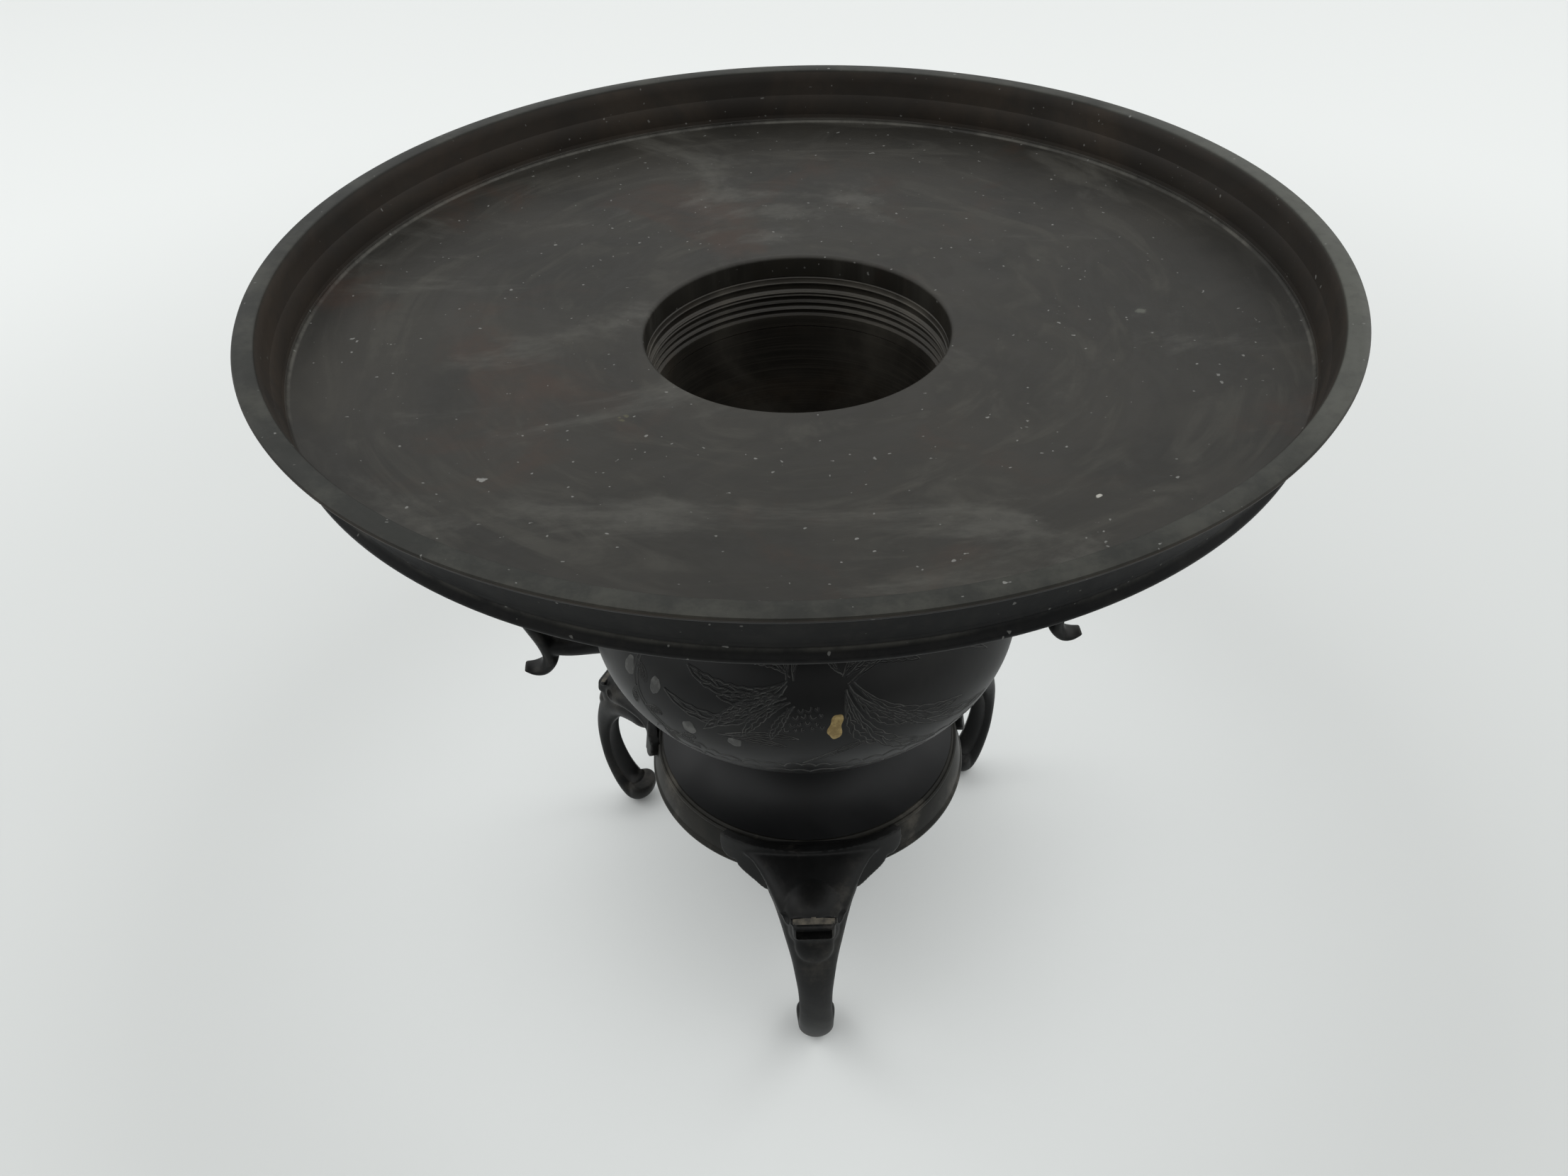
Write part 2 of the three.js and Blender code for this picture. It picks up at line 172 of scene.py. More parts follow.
def lathe(name: str, outline: list[Point], sides: int) -> bpy.types.Object:
    """Turns a closed outline about the vertical axis.

    Args:
        name: the piece's name.
        outline: radius and height of each corner in mm, all round.
        sides: sides of a full turn.

    Returns:
        The turned piece.
    """
    deselect()
    bpy.ops.mesh.primitive_plane_add(size=MM)
    piece = bpy.context.object
    piece.name = name
    bpy.ops.object.mode_set(mode="EDIT")
    bpy.ops.mesh.select_all(action="SELECT")
    bpy.ops.mesh.merge(type="CENTER")
    bpy.ops.transform.translate(value=(outline[0][0] * MM, 0, outline[0][1] * MM))
    for (r0, z0), (r1, z1) in pairwise(outline + outline[:1]):
        step = ((r1 - r0) * MM, 0, (z1 - z0) * MM)
        bpy.ops.mesh.extrude_vertices_move(TRANSFORM_OT_translate={"value": step})
    bpy.ops.mesh.select_all(action="SELECT")
    bpy.ops.mesh.remove_doubles(threshold=0.01 * MM)
    bpy.ops.mesh.spin(steps=sides, angle=math.tau, center=(0, 0, 0), axis=(0, 0, 1))
    bpy.ops.mesh.select_all(action="SELECT")
    bpy.ops.mesh.remove_doubles(threshold=0.01 * MM)
    bpy.ops.mesh.normals_make_consistent(inside=False)
    bpy.ops.object.mode_set(mode="OBJECT")
    shade(piece)
    return piece


@dataclass(frozen=True)
class Station:
    """A section of a curved bar, in mm, in the plane of the bar."""

    out: float
    up: float
    wide: float
    thick: float


def sweep(name: str, given: list[Station], steps: int = 4, sides: int = 20) -> bpy.types.Object:
    """Draws an oval section along a curve that lies in the XZ plane.

    Args:
        name: the piece's name.
        given: sections that the bar passes through, with half widths and half thicknesses.
        steps: sections made from one given section to the next.
        sides: corners of the oval.

    Returns:
        The bar, closed at both ends.
    """
    rows = flow([(s.out, s.up, s.wide, s.thick) for s in given], steps)
    spots = [Vector((r[0], 0, r[1])) * MM for r in rows]
    headings = []
    for i in range(len(spots)):
        run = spots[min(i + 1, len(spots) - 1)] - spots[max(i - 1, 0)]
        headings.append(math.atan2(run.x, run.z))
    deselect()
    bpy.ops.mesh.primitive_circle_add(vertices=sides, radius=1, fill_type="NGON")
    piece = bpy.context.object
    piece.name = name
    bpy.ops.object.mode_set(mode="EDIT")
    bpy.ops.mesh.select_all(action="SELECT")
    bpy.ops.transform.resize(value=(rows[0][3] * MM, rows[0][2] * MM, 1))
    turn_about_y(headings[0], Vector())
    bpy.ops.transform.translate(value=spots[0])
    for i in range(1, len(rows)):
        move = spots[i] - spots[i - 1]
        bpy.ops.mesh.extrude_region_move(TRANSFORM_OT_translate={"value": move})
        bend = (headings[i] - headings[i - 1] + math.pi) % math.tau - math.pi
        turn_about_y(bend, spots[i])
        axes = Matrix.Rotation(headings[i], 3, "Y")
        bpy.ops.transform.resize(
            value=(rows[i][3] / rows[i - 1][3], rows[i][2] / rows[i - 1][2], 1),
            orient_type="GLOBAL", orient_matrix=axes, orient_matrix_type="GLOBAL",
            center_override=spots[i],
        )
    bpy.ops.mesh.select_all(action="SELECT")
    bpy.ops.mesh.normals_make_consistent(inside=False)
    bpy.ops.object.mode_set(mode="OBJECT")
    return piece


def turn_about_y(angle: float, centre: Vector) -> None:
    """Turns the selection about the Y axis; with no window the operator turns the other way."""
    bpy.ops.transform.rotate(value=-angle, orient_axis="Y", center_override=centre)


def ball(name: str, centre: Triple, radii: Triple,
         tilt: float = 0.0) -> bpy.types.Object:
    """An egg-shaped lump, in mm.

    Args:
        name: the piece's name.
        centre: its middle.
        radii: half sizes.
        tilt: turn about Y in degrees.

    Returns:
        The lump.
    """
    deselect()
    bpy.ops.mesh.primitive_uv_sphere_add(segments=40, ring_count=24, radius=1)
    piece = bpy.context.object
    piece.name = name
    piece.scale = Vector(radii) * MM
    piece.rotation_euler.y = math.radians(tilt)
    piece.location = Vector(centre) * MM
    settle(piece)
    return piece


def block(name: str, centre: Triple, sizes: Triple,
          tilt: float = 0.0, corner: float = 0.6) -> bpy.types.Object:
    """A block with rounded edges, in mm.

    Args:
        name: the piece's name.
        centre: its middle.
        sizes: full sizes.
        tilt: turn about Y in degrees.
        corner: radius of its edges.

    Returns:
        The block.
    """
    deselect()
    bpy.ops.mesh.primitive_cube_add(size=1)
    piece = bpy.context.object
    piece.name = name
    piece.scale = Vector(sizes) * MM
    settle(piece)
    apply(piece, "BEVEL", width=corner * MM, segments=3)
    piece.rotation_euler.y = math.radians(tilt)
    piece.location = Vector(centre) * MM
    settle(piece)
    return piece


def fuse(name: str, lumps: list[bpy.types.Object], voxel: float) -> bpy.types.Object:
    """Makes one casting of overlapping closed lumps.

    Args:
        name: the casting's name.
        lumps: the closed shapes, which are used up.
        voxel: grain of the new skin in mm.

    Returns:
        The casting.
    """
    deselect()
    for lump in lumps:
        lump.select_set(True)
    bpy.context.view_layer.objects.active = lumps[0]
    bpy.ops.object.join()
    piece = bpy.context.object
    piece.name = name
    apply(piece, "REMESH", mode="VOXEL", voxel_size=voxel * MM)
    return piece


def carve(piece: bpy.types.Object, cutter: bpy.types.Object) -> None:
    """Takes a closed shape, which is used up, out of a piece."""
    apply(piece, "BOOLEAN", operation="DIFFERENCE", solver="EXACT", object=cutter)
    bpy.data.objects.remove(cutter)


def copy_turned(piece: bpy.types.Object, name: str, azimuth: float) -> bpy.types.Object:
    """Copies a piece made along +X and turns the copy about the vertical axis.

    Args:
        piece: the pattern.
        name: the copy's name.
        azimuth: turn in degrees.

    Returns:
        The copy, with its own mesh.
    """
    only(piece)
    bpy.ops.object.duplicate()
    twin = bpy.context.object
    twin.name = name
    twin.rotation_euler.z = math.radians(azimuth)
    settle(twin)
    return twin


# ---------------------------------------------------------------- finishes


class Nodes:
    """A small builder for one material's nodes."""

    def __init__(self, name: str) -> None:
        """Starts an empty material of that name."""
        self.material = bpy.data.materials.new(name)
        self.material.use_nodes = True
        self.tree = self.material.node_tree
        self.shader = self.tree.nodes["Principled BSDF"]
        self.place = self.add("ShaderNodeTexCoord").outputs["Object"]

    def add(self, kind: str, **settings: object) -> bpy.types.Node:
        """Adds a node.

        Args:
            kind: its type.
            **settings: its own settings.

        Returns:
            The node.
        """
        made = self.tree.nodes.new(kind)
        for key, value in settings.items():
            setattr(made, key, value)
        return made

    def link(self, start: object, end: object) -> None:
        """Joins an output, or sets a plain value, to an input."""
        if isinstance(start, bpy.types.NodeSocket):
            self.tree.links.new(start, end)
        else:
            end.default_value = start

    def math(self, operation: str, *values: object, clamp: bool = False) -> bpy.types.NodeSocket:
        """A sum of numbers or sockets.

        Args:
            operation: the sum's kind.
            *values: what it works on.
            clamp: keeps the result from 0 to 1.

        Returns:
            The result.
        """
        made = self.add("ShaderNodeMath", operation=operation, use_clamp=clamp)
        for socket, value in zip(made.inputs, values):
            self.link(value, socket)
        return made.outputs[0]

    def spread(self, x: object, y: object, z: object) -> bpy.types.NodeSocket:
        """A vector of three numbers or sockets."""
        made = self.add("ShaderNodeCombineXYZ")
        for socket, value in zip(made.inputs, (x, y, z)):
            self.link(value, socket)
        return made.outputs[0]

    def scaled(self, scale: Triple) -> bpy.types.NodeSocket:
        """The place on the piece, stretched."""
        made = self.add("ShaderNodeMapping")
        made.inputs["Scale"].default_value = scale
        self.link(self.place, made.inputs["Vector"])
        return made.outputs[0]

    def noise(self, scale: float, vector: object = None, detail: float = 5.0, rough: float = 0.55,
              warp: float = 0.0) -> bpy.types.NodeSocket:
        """Cloudy noise from 0 to 1.

        Args:
            scale: clouds in a metre.
            vector: where it is read, the place on the piece if not given.
            detail: octaves.
            rough: strength of the fine octaves.
            warp: distortion.

        Returns:
            The noise.
        """
        made = self.add("ShaderNodeTexNoise")
        made.inputs["Scale"].default_value = scale
        made.inputs["Detail"].default_value = detail
        made.inputs["Roughness"].default_value = rough
        made.inputs["Distortion"].default_value = warp
        self.link(vector if vector is not None else self.place, made.inputs["Vector"])
        return made.outputs[0]

    def ramp(self, value: object, low: float, high: float, bottom: float = 0.0,
             top: float = 1.0) -> bpy.types.NodeSocket:
        """A number taken smoothly from one range to another.

        Args:
            value: the number.
            low: where it starts to rise.
            high: where it stops.
            bottom: result at the start.
            top: result at the stop.

        Returns:
            The result.
        """
        made = self.add("ShaderNodeMapRange", interpolation_type="SMOOTHSTEP")
        for socket, number in zip(made.inputs, (value, low, high, bottom, top)):
            self.link(number, socket)
        return made.outputs[0]

    def mix(self, amount: object, first: object, second: object) -> bpy.types.NodeSocket:
        """A mix of two colours.

        Args:
            amount: how much of the second.
            first: a colour or socket.
            second: a colour or socket.

        Returns:
            The colour.
        """
        made = self.add("ShaderNodeMix", data_type="RGBA")
        self.link(amount, made.inputs["Factor"])
        self.link(first, made.inputs["A"])
        self.link(second, made.inputs["B"])
        return made.outputs["Result"]

    def bump(self, height: object, strength: float, deep: float) -> None:
        """Adds fine relief.

        Args:
            height: the relief.
            strength: how much of it counts.
            deep: its depth in mm.
        """
        made = self.add("ShaderNodeBump")
        made.inputs["Strength"].default_value = strength
        made.inputs["Distance"].default_value = deep * MM
        self.link(height, made.inputs["Height"])
        self.link(made.outputs[0], self.shader.inputs["Normal"])

    def spot(self, centre: Triple, size: float, ragged: float = 0.35,
             long: float = 1.0, turn: float = 0.0) -> bpy.types.NodeSocket:
        """A ragged mark at one place.

        Args:
            centre: its middle in mm.
            size: its radius in mm.
            ragged: how uneven its edge is.
            long: how much longer it is one way.
            turn: direction of that way in degrees.

        Returns:
            1 inside the mark and 0 outside.
        """
        made = self.add("ShaderNodeMapping", vector_type="TEXTURE")
        made.inputs["Location"].default_value = Vector(centre) * MM
        made.inputs["Rotation"].default_value = (0, 0, math.radians(turn))
        made.inputs["Scale"].default_value = (size * long * MM, size * MM, size * MM)
        self.link(self.place, made.inputs["Vector"])
        far = self.add("ShaderNodeVectorMath", operation="LENGTH")
        self.link(made.outputs[0], far.inputs[0])
        rag = self.math("MULTIPLY", self.noise(700, detail=3), ragged * 2)
        return self.ramp(self.math("ADD", far.outputs["Value"], rag), 1.25, 0.85 + ragged * 0.2)


@dataclass(frozen=True)
class Bronze:
    """Old patinated bronze.

    Colours are linear. `rings` adds turning lines round the vertical axis and `dust` a pale
    film that gathers in patches.
    """

    name: str
    deep: Triple
    pale: Triple
    warm: Triple
    metallic: float = 0.35
    rough: tuple[float, float] = (0.42, 0.6)
    clouds: float = 22.0
    warmth: float = 0.4
    grain: float = 0.5
    gloss: float = 0.36
    rings: float = 0.0
    dust: float = 0.0

    def build(self) -> bpy.types.Material:
        """Makes the material."""
        n = Nodes(self.name)
        cloud = n.noise(self.clouds, warp=0.8)
        colour = n.mix(n.ramp(cloud, 0.34, 0.7), (*self.deep, 1), (*self.pale, 1))
        patch = n.noise(self.clouds * 0.8, n.scaled((1, 1, 1.7)), detail=7, rough=0.62)
        colour = n.mix(n.ramp(patch, 0.5, 0.72, 0, self.warmth), colour, (*self.warm, 1))
        speck = n.noise(900, detail=2)
        colour = n.mix(n.ramp(speck, 0.66, 0.78, 0, 0.22), colour, (*self.pale, 1))
        grime = n.noise(240, detail=4)
        colour = n.mix(n.ramp(grime, 0.42, 0.7, 0, 0.35), colour, (*self.deep, 1))
        height = n.noise(420, detail=6, rough=0.6)
        if self.rings:
            line = n.noise(1, n.scaled((16, 16, 2600)), detail=3, rough=0.7)
            colour = n.mix(n.ramp(line, 0.46, 0.72, 0, self.rings), colour, (*self.pale, 1))
            height = n.math("ADD", height, n.math("MULTIPLY", line, self.rings * 2))
        if self.dust:
            film = n.noise(60, detail=8, rough=0.7)
            colour = n.mix(n.ramp(film, 0.5, 0.75, 0, self.dust), colour, (0.2, 0.18, 0.15, 1))
        n.link(colour, n.shader.inputs["Base Color"])
        n.link(n.ramp(cloud, 0.3, 0.75, *self.rough), n.shader.inputs["Roughness"])
        n.shader.inputs["Metallic"].default_value = self.metallic
        n.shader.inputs["Specular IOR Level"].default_value = self.gloss
        n.bump(height, 0.25 * self.grain, 0.25)
        return n.material


@dataclass(frozen=True)
class DishBronze:
    """Grey-brown bronze of the dish, wiped in circles, with marks of use."""

    name: str = "dish_patina"
    floor: float = 241.0
    wall_foot: float = 243.2
    wall: float = 244.6
    lip_foot: float = 258.9
    lip: float = 260.0
    outer_top: float = 259.2
    crease: float = 140.4

    def build(self) -> bpy.types.Material:
        """Makes the material."""
        n = Nodes(self.name)
        cut = n.add("ShaderNodeSeparateXYZ")
        n.link(n.place, cut.inputs[0])
        x, y, z = cut.outputs
        radius = n.math("SQRT", n.math("ADD", n.math("MULTIPLY", x, x), n.math("MULTIPLY", y, y)))
        east = n.math("DIVIDE", x, radius)
        north = n.math("DIVIDE", y, radius)
        wiped = n.spread(n.math("MULTIPLY", east, 1.7), n.math("MULTIPLY", north, 1.7),
                         n.math("MULTIPLY", radius, 60))
        swirl = n.noise(1.3, wiped, detail=7, rough=0.62, warp=1.1)
        cloud = n.noise(14, warp=1.2, detail=6, rough=0.6)
        colour = n.mix(n.ramp(cloud, 0.3, 0.72), (0.0095, 0.0087, 0.0068, 1), (0.0195, 0.0175, 0.0138, 1))
        colour = n.mix(n.ramp(swirl, 0.47, 0.7, 0, 0.55), colour, (0.041, 0.039, 0.033, 1))
        blush = n.noise(17, detail=7, rough=0.6, warp=0.6)
        colour = n.mix(n.ramp(blush, 0.53, 0.7, 0, 0.55), colour, (0.03, 0.0155, 0.0095, 1))
        film = n.noise(7, n.scaled((1, 1.7, 1)), detail=9, rough=0.66, warp=1.8)
        colour = n.mix(n.ramp(film, 0.52, 0.68, 0, 0.5), colour, (0.062, 0.06, 0.052, 1))
        wall = n.ramp(z, self.wall_foot * MM, self.wall * MM)
        brown = n.mix(n.ramp(cloud, 0.35, 0.7), (0.017, 0.014, 0.0115, 1), (0.034, 0.025, 0.018, 1))
        colour = n.mix(n.math("MULTIPLY", wall, 0.85), colour, brown)
        lip = n.ramp(z, self.lip_foot * MM, self.lip * MM)
        rubbed = n.noise(55, detail=8, rough=0.7)
        green = n.mix(n.ramp(rubbed, 0.4, 0.66), (0.009, 0.0095, 0.0075, 1), (0.026, 0.026, 0.021, 1))
        # the lip grows paler towards +X, from 90 mm to 150 mm
        green = n.mix(n.ramp(x, 90 * MM, 150 * MM, 0, 0.6), green, (0.075, 0.077, 0.066, 1))
        colour = n.mix(lip, colour, green)
        # painted shade: the outward-facing wall below the lip is made near black, standing in for the shade
        # under the lip; the same mask also lowers its specular
        slope = n.add("ShaderNodeSeparateXYZ")
        n.link(n.add("ShaderNodeTexCoord").outputs["Normal"], slope.inputs[0])
        outward = n.math("ADD", n.math("MULTIPLY", slope.outputs[0], east),
                         n.math("MULTIPLY", slope.outputs[1], north))
        outside = n.math("MULTIPLY", n.ramp(outward, 0.05, 0.35),
                         n.ramp(z, self.outer_top * MM, (self.outer_top - 1) * MM))
        outer_wall_painted_shade = n.mix(n.ramp(cloud, 0.35, 0.7), (0.0035, 0.0037, 0.004, 1), (0.009, 0.009, 0.0085, 1))
        colour = n.mix(outside, colour, outer_wall_painted_shade)
        # painted highlight: a thin, patchy pale line at the crease radius where the floor meets the inner
        # wall, standing in for light caught by that edge
        crease = n.math("MULTIPLY", n.ramp(n.math("ABSOLUTE", n.math("SUBTRACT", radius, self.crease * MM)),
                                           0.8 * MM, 0.1 * MM), n.ramp(z, 245 * MM, 243 * MM))
        crease_painted_highlight = n.math("MULTIPLY", crease, n.ramp(n.noise(38, detail=6, rough=0.7), 0.42, 0.62, 0, 0.4))
        colour = n.mix(crease_painted_highlight, colour, (0.11, 0.105, 0.09, 1))
        for mark in DISH_MARKS:
            shape = n.spot((mark.x, mark.y, self.floor), mark.size, mark.ragged, mark.long, mark.turn)
            if mark.hollow:
                inner = n.spot((mark.x, mark.y, self.floor), mark.size * 0.62, mark.ragged, mark.long,
                               mark.turn)
                shape = n.math("SUBTRACT", shape, n.math("MULTIPLY", inner, mark.hollow))
            amount = n.math("MULTIPLY", shape, mark.strength, clamp=True)
            colour = n.mix(amount, colour, (*mark.tint, 1))
        speck = n.noise(520, detail=1)
        colour = n.mix(n.ramp(speck, 0.745, 0.79, 0, 0.6), colour, (0.19, 0.19, 0.18, 1))
        grime = n.noise(300, detail=4)
        colour = n.mix(n.ramp(grime, 0.45, 0.72, 0, 0.3), colour, (0.016, 0.015, 0.013, 1))
        n.link(colour, n.shader.inputs["Base Color"])
        n.link(n.ramp(swirl, 0.35, 0.75, 0.48, 0.62), n.shader.inputs["Roughness"])
        n.shader.inputs["Metallic"].default_value = 0.15
        n.link(n.math("SUBTRACT", 0.22, n.math("MULTIPLY", outside, 0.08)),
               n.shader.inputs["Specular IOR Level"])
        scratch = n.noise(1, n.spread(n.math("MULTIPLY", east, 9), n.math("MULTIPLY", north, 9),
                                      n.math("MULTIPLY", radius, 1500)), detail=2)
        height = n.math("ADD", n.noise(380, detail=6, rough=0.6), n.math("MULTIPLY", scratch, 0.25))
        n.bump(height, 0.14, 0.25)
        return n.material


@dataclass(frozen=True)
class Mark:
    """One mark of use on the dish floor, in mm."""

    x: float
    y: float
    size: float
    strength: float = 0.7
    tint: Triple = (0.2, 0.2, 0.185)
    long: float = 1.0
    turn: float = 0.0
    ragged: float = 0.35
    hollow: float = 0.0


DISH_MARKS = [
    Mark(38, -48, 2.0, 0.75, long=1.9, turn=4, hollow=0.8),
    Mark(-78, -75, 2.3, 0.65, (0.22, 0.22, 0.21), ragged=0.7),
    Mark(35, -1, 1.4, 0.35, long=2.2, turn=8, hollow=0.8),
    Mark(98, 0, 2.2, 0.25, (0.16, 0.17, 0.14)),
    Mark(-46, -46, 5.5, 0.34, (0.1, 0.098, 0.05), long=1.4, ragged=0.8),
    Mark(14, -74, 0.8, 0.8, (0.3, 0.29, 0.27), long=1.6, turn=20),
    Mark(-26, -92, 0.7, 0.8, (0.34, 0.33, 0.3), long=1.6, turn=60),
    Mark(70, -88, 0.8, 0.8, (0.34, 0.33, 0.3), long=1.8, turn=40),
]


@dataclass(frozen=True)
class Plain:
    """A finish of one tone with a fine grain: inlay metals, engraved lines, their painted edge highlights and
    the leg's ledge.
    """

    name: str
    tone: Triple
    worn: Triple
    metallic: float = 0.6
    rough: float = 0.45
    scale: float = 260.0

    def build(self) -> bpy.types.Material:
        """Makes the material."""
        n = Nodes(self.name)
        rub = n.noise(self.scale, detail=6, rough=0.65)
        colour = n.mix(n.ramp(rub, 0.4, 0.64), (*self.tone, 1), (*self.worn, 1))
        n.link(colour, n.shader.inputs["Base Color"])
        n.link(n.ramp(rub, 0.3, 0.7, self.rough, self.rough + 0.15), n.shader.inputs["Roughness"])
        n.shader.inputs["Metallic"].default_value = self.metallic
        n.bump(n.noise(900, detail=3), 0.2, 0.1)
        return n.material


class Finishes:
    """All the finishes, made once."""

    def __init__(self) -> None:
        """Builds each material."""
        self.dish = DishBronze().build()
        self.throat = Bronze("throat_patina", (0.02, 0.018, 0.015), (0.06, 0.054, 0.044),
                             (0.05, 0.034, 0.02), rings=0.5, warmth=0.5).build()
        self.neck = Bronze("neck_patina", (0.018, 0.016, 0.0135), (0.06, 0.054, 0.044),
                           (0.055, 0.037, 0.022), rings=0.65, warmth=0.55).build()
        self.bowl = Bronze("bowl_patina", (0.0045, 0.0047, 0.005), (0.0115, 0.0115, 0.011),
                           (0.01, 0.0085, 0.0065), rough=(0.36, 0.52), clouds=16, grain=0.4).build()
        self.pedestal = Bronze("pedestal_patina", (0.0035, 0.0038, 0.0043), (0.0085, 0.0088, 0.0092),
                               (0.008, 0.007, 0.006), rough=(0.38, 0.5), clouds=14, grain=0.3).build()
        self.foot = Bronze("foot_patina", (0.009, 0.0088, 0.0075), (0.026, 0.0245, 0.02),
                           (0.021, 0.017, 0.012), dust=0.3, clouds=30, gloss=0.24).build()
        self.leg = Bronze("leg_patina", (0.0045, 0.0047, 0.0048), (0.013, 0.0133, 0.013),
                          (0.013, 0.0115, 0.009), dust=0.16, clouds=34, gloss=0.24).build()
        # pale ledge: partly dust, partly painted highlight on its upward face
        self.ledge = Plain("ledge_dust_and_highlight", (0.03, 0.027, 0.022), (0.11, 0.097, 0.075), 0.1, 0.7).build()
        self.line_dark = Plain("cut_line", (0.004, 0.004, 0.004), (0.009, 0.009, 0.009), 0.2, 0.55).build()
        # painted highlight laid beside each engraved line
        self.line_highlight = Plain("cut_edge_highlight", (0.05, 0.05, 0.048), (0.09, 0.09, 0.085), 0.4, 0.45).build()
        self.gold = Plain("worn_gilt", (0.2, 0.14, 0.055), (0.42, 0.32, 0.14), 0.55, 0.42).build()
        self.silver = Plain("grey_silver", (0.05, 0.05, 0.048), (0.11, 0.11, 0.105), 0.5, 0.45).build()


def place(piece: bpy.types.Object, body: Body, finish: bpy.types.Material | None,
          nodes: tuple[str, ...] = ()) -> None:
    """Puts a finished piece on its body and hides the CAD nodes that it replaces.

    Args:
        piece: the piece.
        body: what it rides on.
        finish: its material, or None where its faces already have theirs.
        nodes: the CAD nodes that it replaces.
    """
    if finish:
        piece.data.materials.clear()
        piece.data.materials.append(finish)
    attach(piece, body.value)
    if nodes:
        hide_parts(*nodes)
    log.info("%s on %s: %d faces", piece.name, body.value, len(piece.data.polygons))


# ---------------------------------------------------------------- the turned parts


@dataclass
class Dish:
    """The wide shallow dish with a moulded outer wall and a hole in its middle."""

    spigot: float = 46.2
    hole: float = 43.9
    lip_inner: float = 144.7
    lip_outer: float = 150.0

    def outline(self) -> list[Point]:
        """The dish's section: underside, outer wall, lip, inner wall and floor."""
        underside = [(self.spigot, 231.3), (self.spigot, 233), (60, 233), (63, 233.6), (67, 235),
                     (100, 236.4), (128, 237.6), (138, 238.6), (140.4, 239.3)]
        foot_bead = arc((141.1, 240.6), (1.1, 1.1), -75, 62, 8)
        groove = [(141.2, 242.0), (140.9, 242.5), (140.75, 243.0), (140.8, 243.6), (141.2, 244.0)]
        cavetto = arc((149.4, 244.6), (8.15, 12.7), 182, 97, 18)
        drip = [(148.9, 257.6), (149.5, 257.9), (149.75, 258.4), (150.15, 258.7)]
        lip = [(self.lip_outer + 0.3, 259.2), (self.lip_outer, 259.75), (149.3, 260.0)]
        lip += [(147, 260.12), (self.lip_inner + 0.7, 260.0)]
        lip += arc((self.lip_inner + 0.5, 259.4), (0.6, 0.55), 100, 175, 4)
        inner = [(144.05, 258.6), (143.6, 256), (142.3, 250), (141.3, 245.4), (141.0, 244.0)]
        inner += arc((139.6, 243.9), (1.3, 1.3), 0, -80, 6)
        floor = [(137, 242.35), (128, 241.7), (115, 240.9), (100, 240.2), (84, 239.5), (70, 239), (56, 238.4)]
        edge = [(46.4, 238.05)] + arc((45.2, 236.9), (1.3, 1.1), 80, 178, 7)
        return underside + foot_bead + groove + cavetto + drip + lip + inner + floor + edge + [
            (self.hole, 231.3)]

    def build(self, finishes: Finishes) -> None:
        """Turns the dish and dresses it."""
        piece = lathe("dish", self.outline(), WIDE)
        place(piece, Body.DISH, finishes.dish, ("dish_pan",))


@dataclass
class Throat:
    """The ridged ring in the neck's mouth."""

    bore: float = 43.9
    outer: float = 46.2
    ridges: tuple[Triple, ...] = (
        (229.1, 0.3, 0.6), (225.4, 0.95, 0.95), (222.4, 0.3, 0.7), (220.1, 0.3, 0.8),
    )

    def outline(self) -> list[Point]:
        """The ring's section; the thick ridge has a groove in its face."""
        points = [(self.outer, 214.3), (self.outer, 231.0), (self.bore + 0.3, 231.0), (self.bore, 230.7)]
        for high, half, out in self.ridges:
            points.append((self.bore, high + half + 0.5))
            if half > 0.5:
                points += arc((self.bore - out + 0.5, high + half * 0.55), (0.5, half * 0.45), 90, 250, 6)
                points.append((self.bore - out + 0.45, high))
                points += arc((self.bore - out + 0.5, high - half * 0.55), (0.5, half * 0.45), 110, 270, 6)
            else:
                points += arc((self.bore - out + 0.35, high), (0.35, half), 90, 270, 6)
            points.append((self.bore, high - half - 0.5))
        return points + [(self.bore, 218.5), (43.5, 218.1), (42.9, 217.9), (42.9, 214.3)]

    def build(self, finishes: Finishes) -> None:
        """Turns the ring and dresses it."""
        piece = lathe("throat", self.outline(), FINE)
        place(piece, Body.RING, finishes.throat, ("throat_ring",))


@dataclass
class Neck:
    """The waisted neck, its collar and the moulding at its root."""

    bore: float = 42.9
    seat: float = 46.6

    def collar(self) -> list[Point]:
        """Section of the flared collar that carries the dish."""
        flare = arc((61, 224.6), (7, 6), 180, 108, 12)
        return [(self.seat, 222.3), (51.6, 222.3), (52.4, 222.7), (53.2, 224.0), *flare, (59.6, 230.8),
                (60.1, 231.4), (60.1, 232.3), (59.7, 232.7), (self.seat, 232.7)]

    def body(self) -> list[Point]:
        """Section of the neck."""
        outside = flow([(48.9, 170.1), (48.9, 176), (47.9, 182), (47.3, 190), (47.3, 198), (47.8, 206),
                        (49.4, 213), (51.3, 218), (52, 222)], 4)
        return [(self.bore, 170.1), *outside, (self.seat, 222), (self.seat, 214), (self.bore, 214)]

    def moulding(self) -> list[Point]:
        """Section of the moulding at the neck's root."""
        roll = arc((53.6, 170.7), (2, 2.3), -60, 75, 12)
        return [(49.3, 169.9), (54, 166.8), *roll, (52.9, 173.1), (51.5, 173.3), (50.9, 174), (50.6, 174.8),
                (50.2, 175), (49.3, 175)]

    def build(self, finishes: Finishes) -> None:
        """Turns the three pieces and dresses them."""
        place(lathe("neck_body", self.body(), FINE), Body.VESSEL, finishes.neck, ("neck",))
        place(lathe("neck_collar", self.collar(), FINE), Body.VESSEL, finishes.bowl,
              ("mouth_ring",))
        place(lathe("neck_moulding", self.moulding(), FINE), Body.VESSEL, finishes.bowl,
              ("shoulder_ring",))


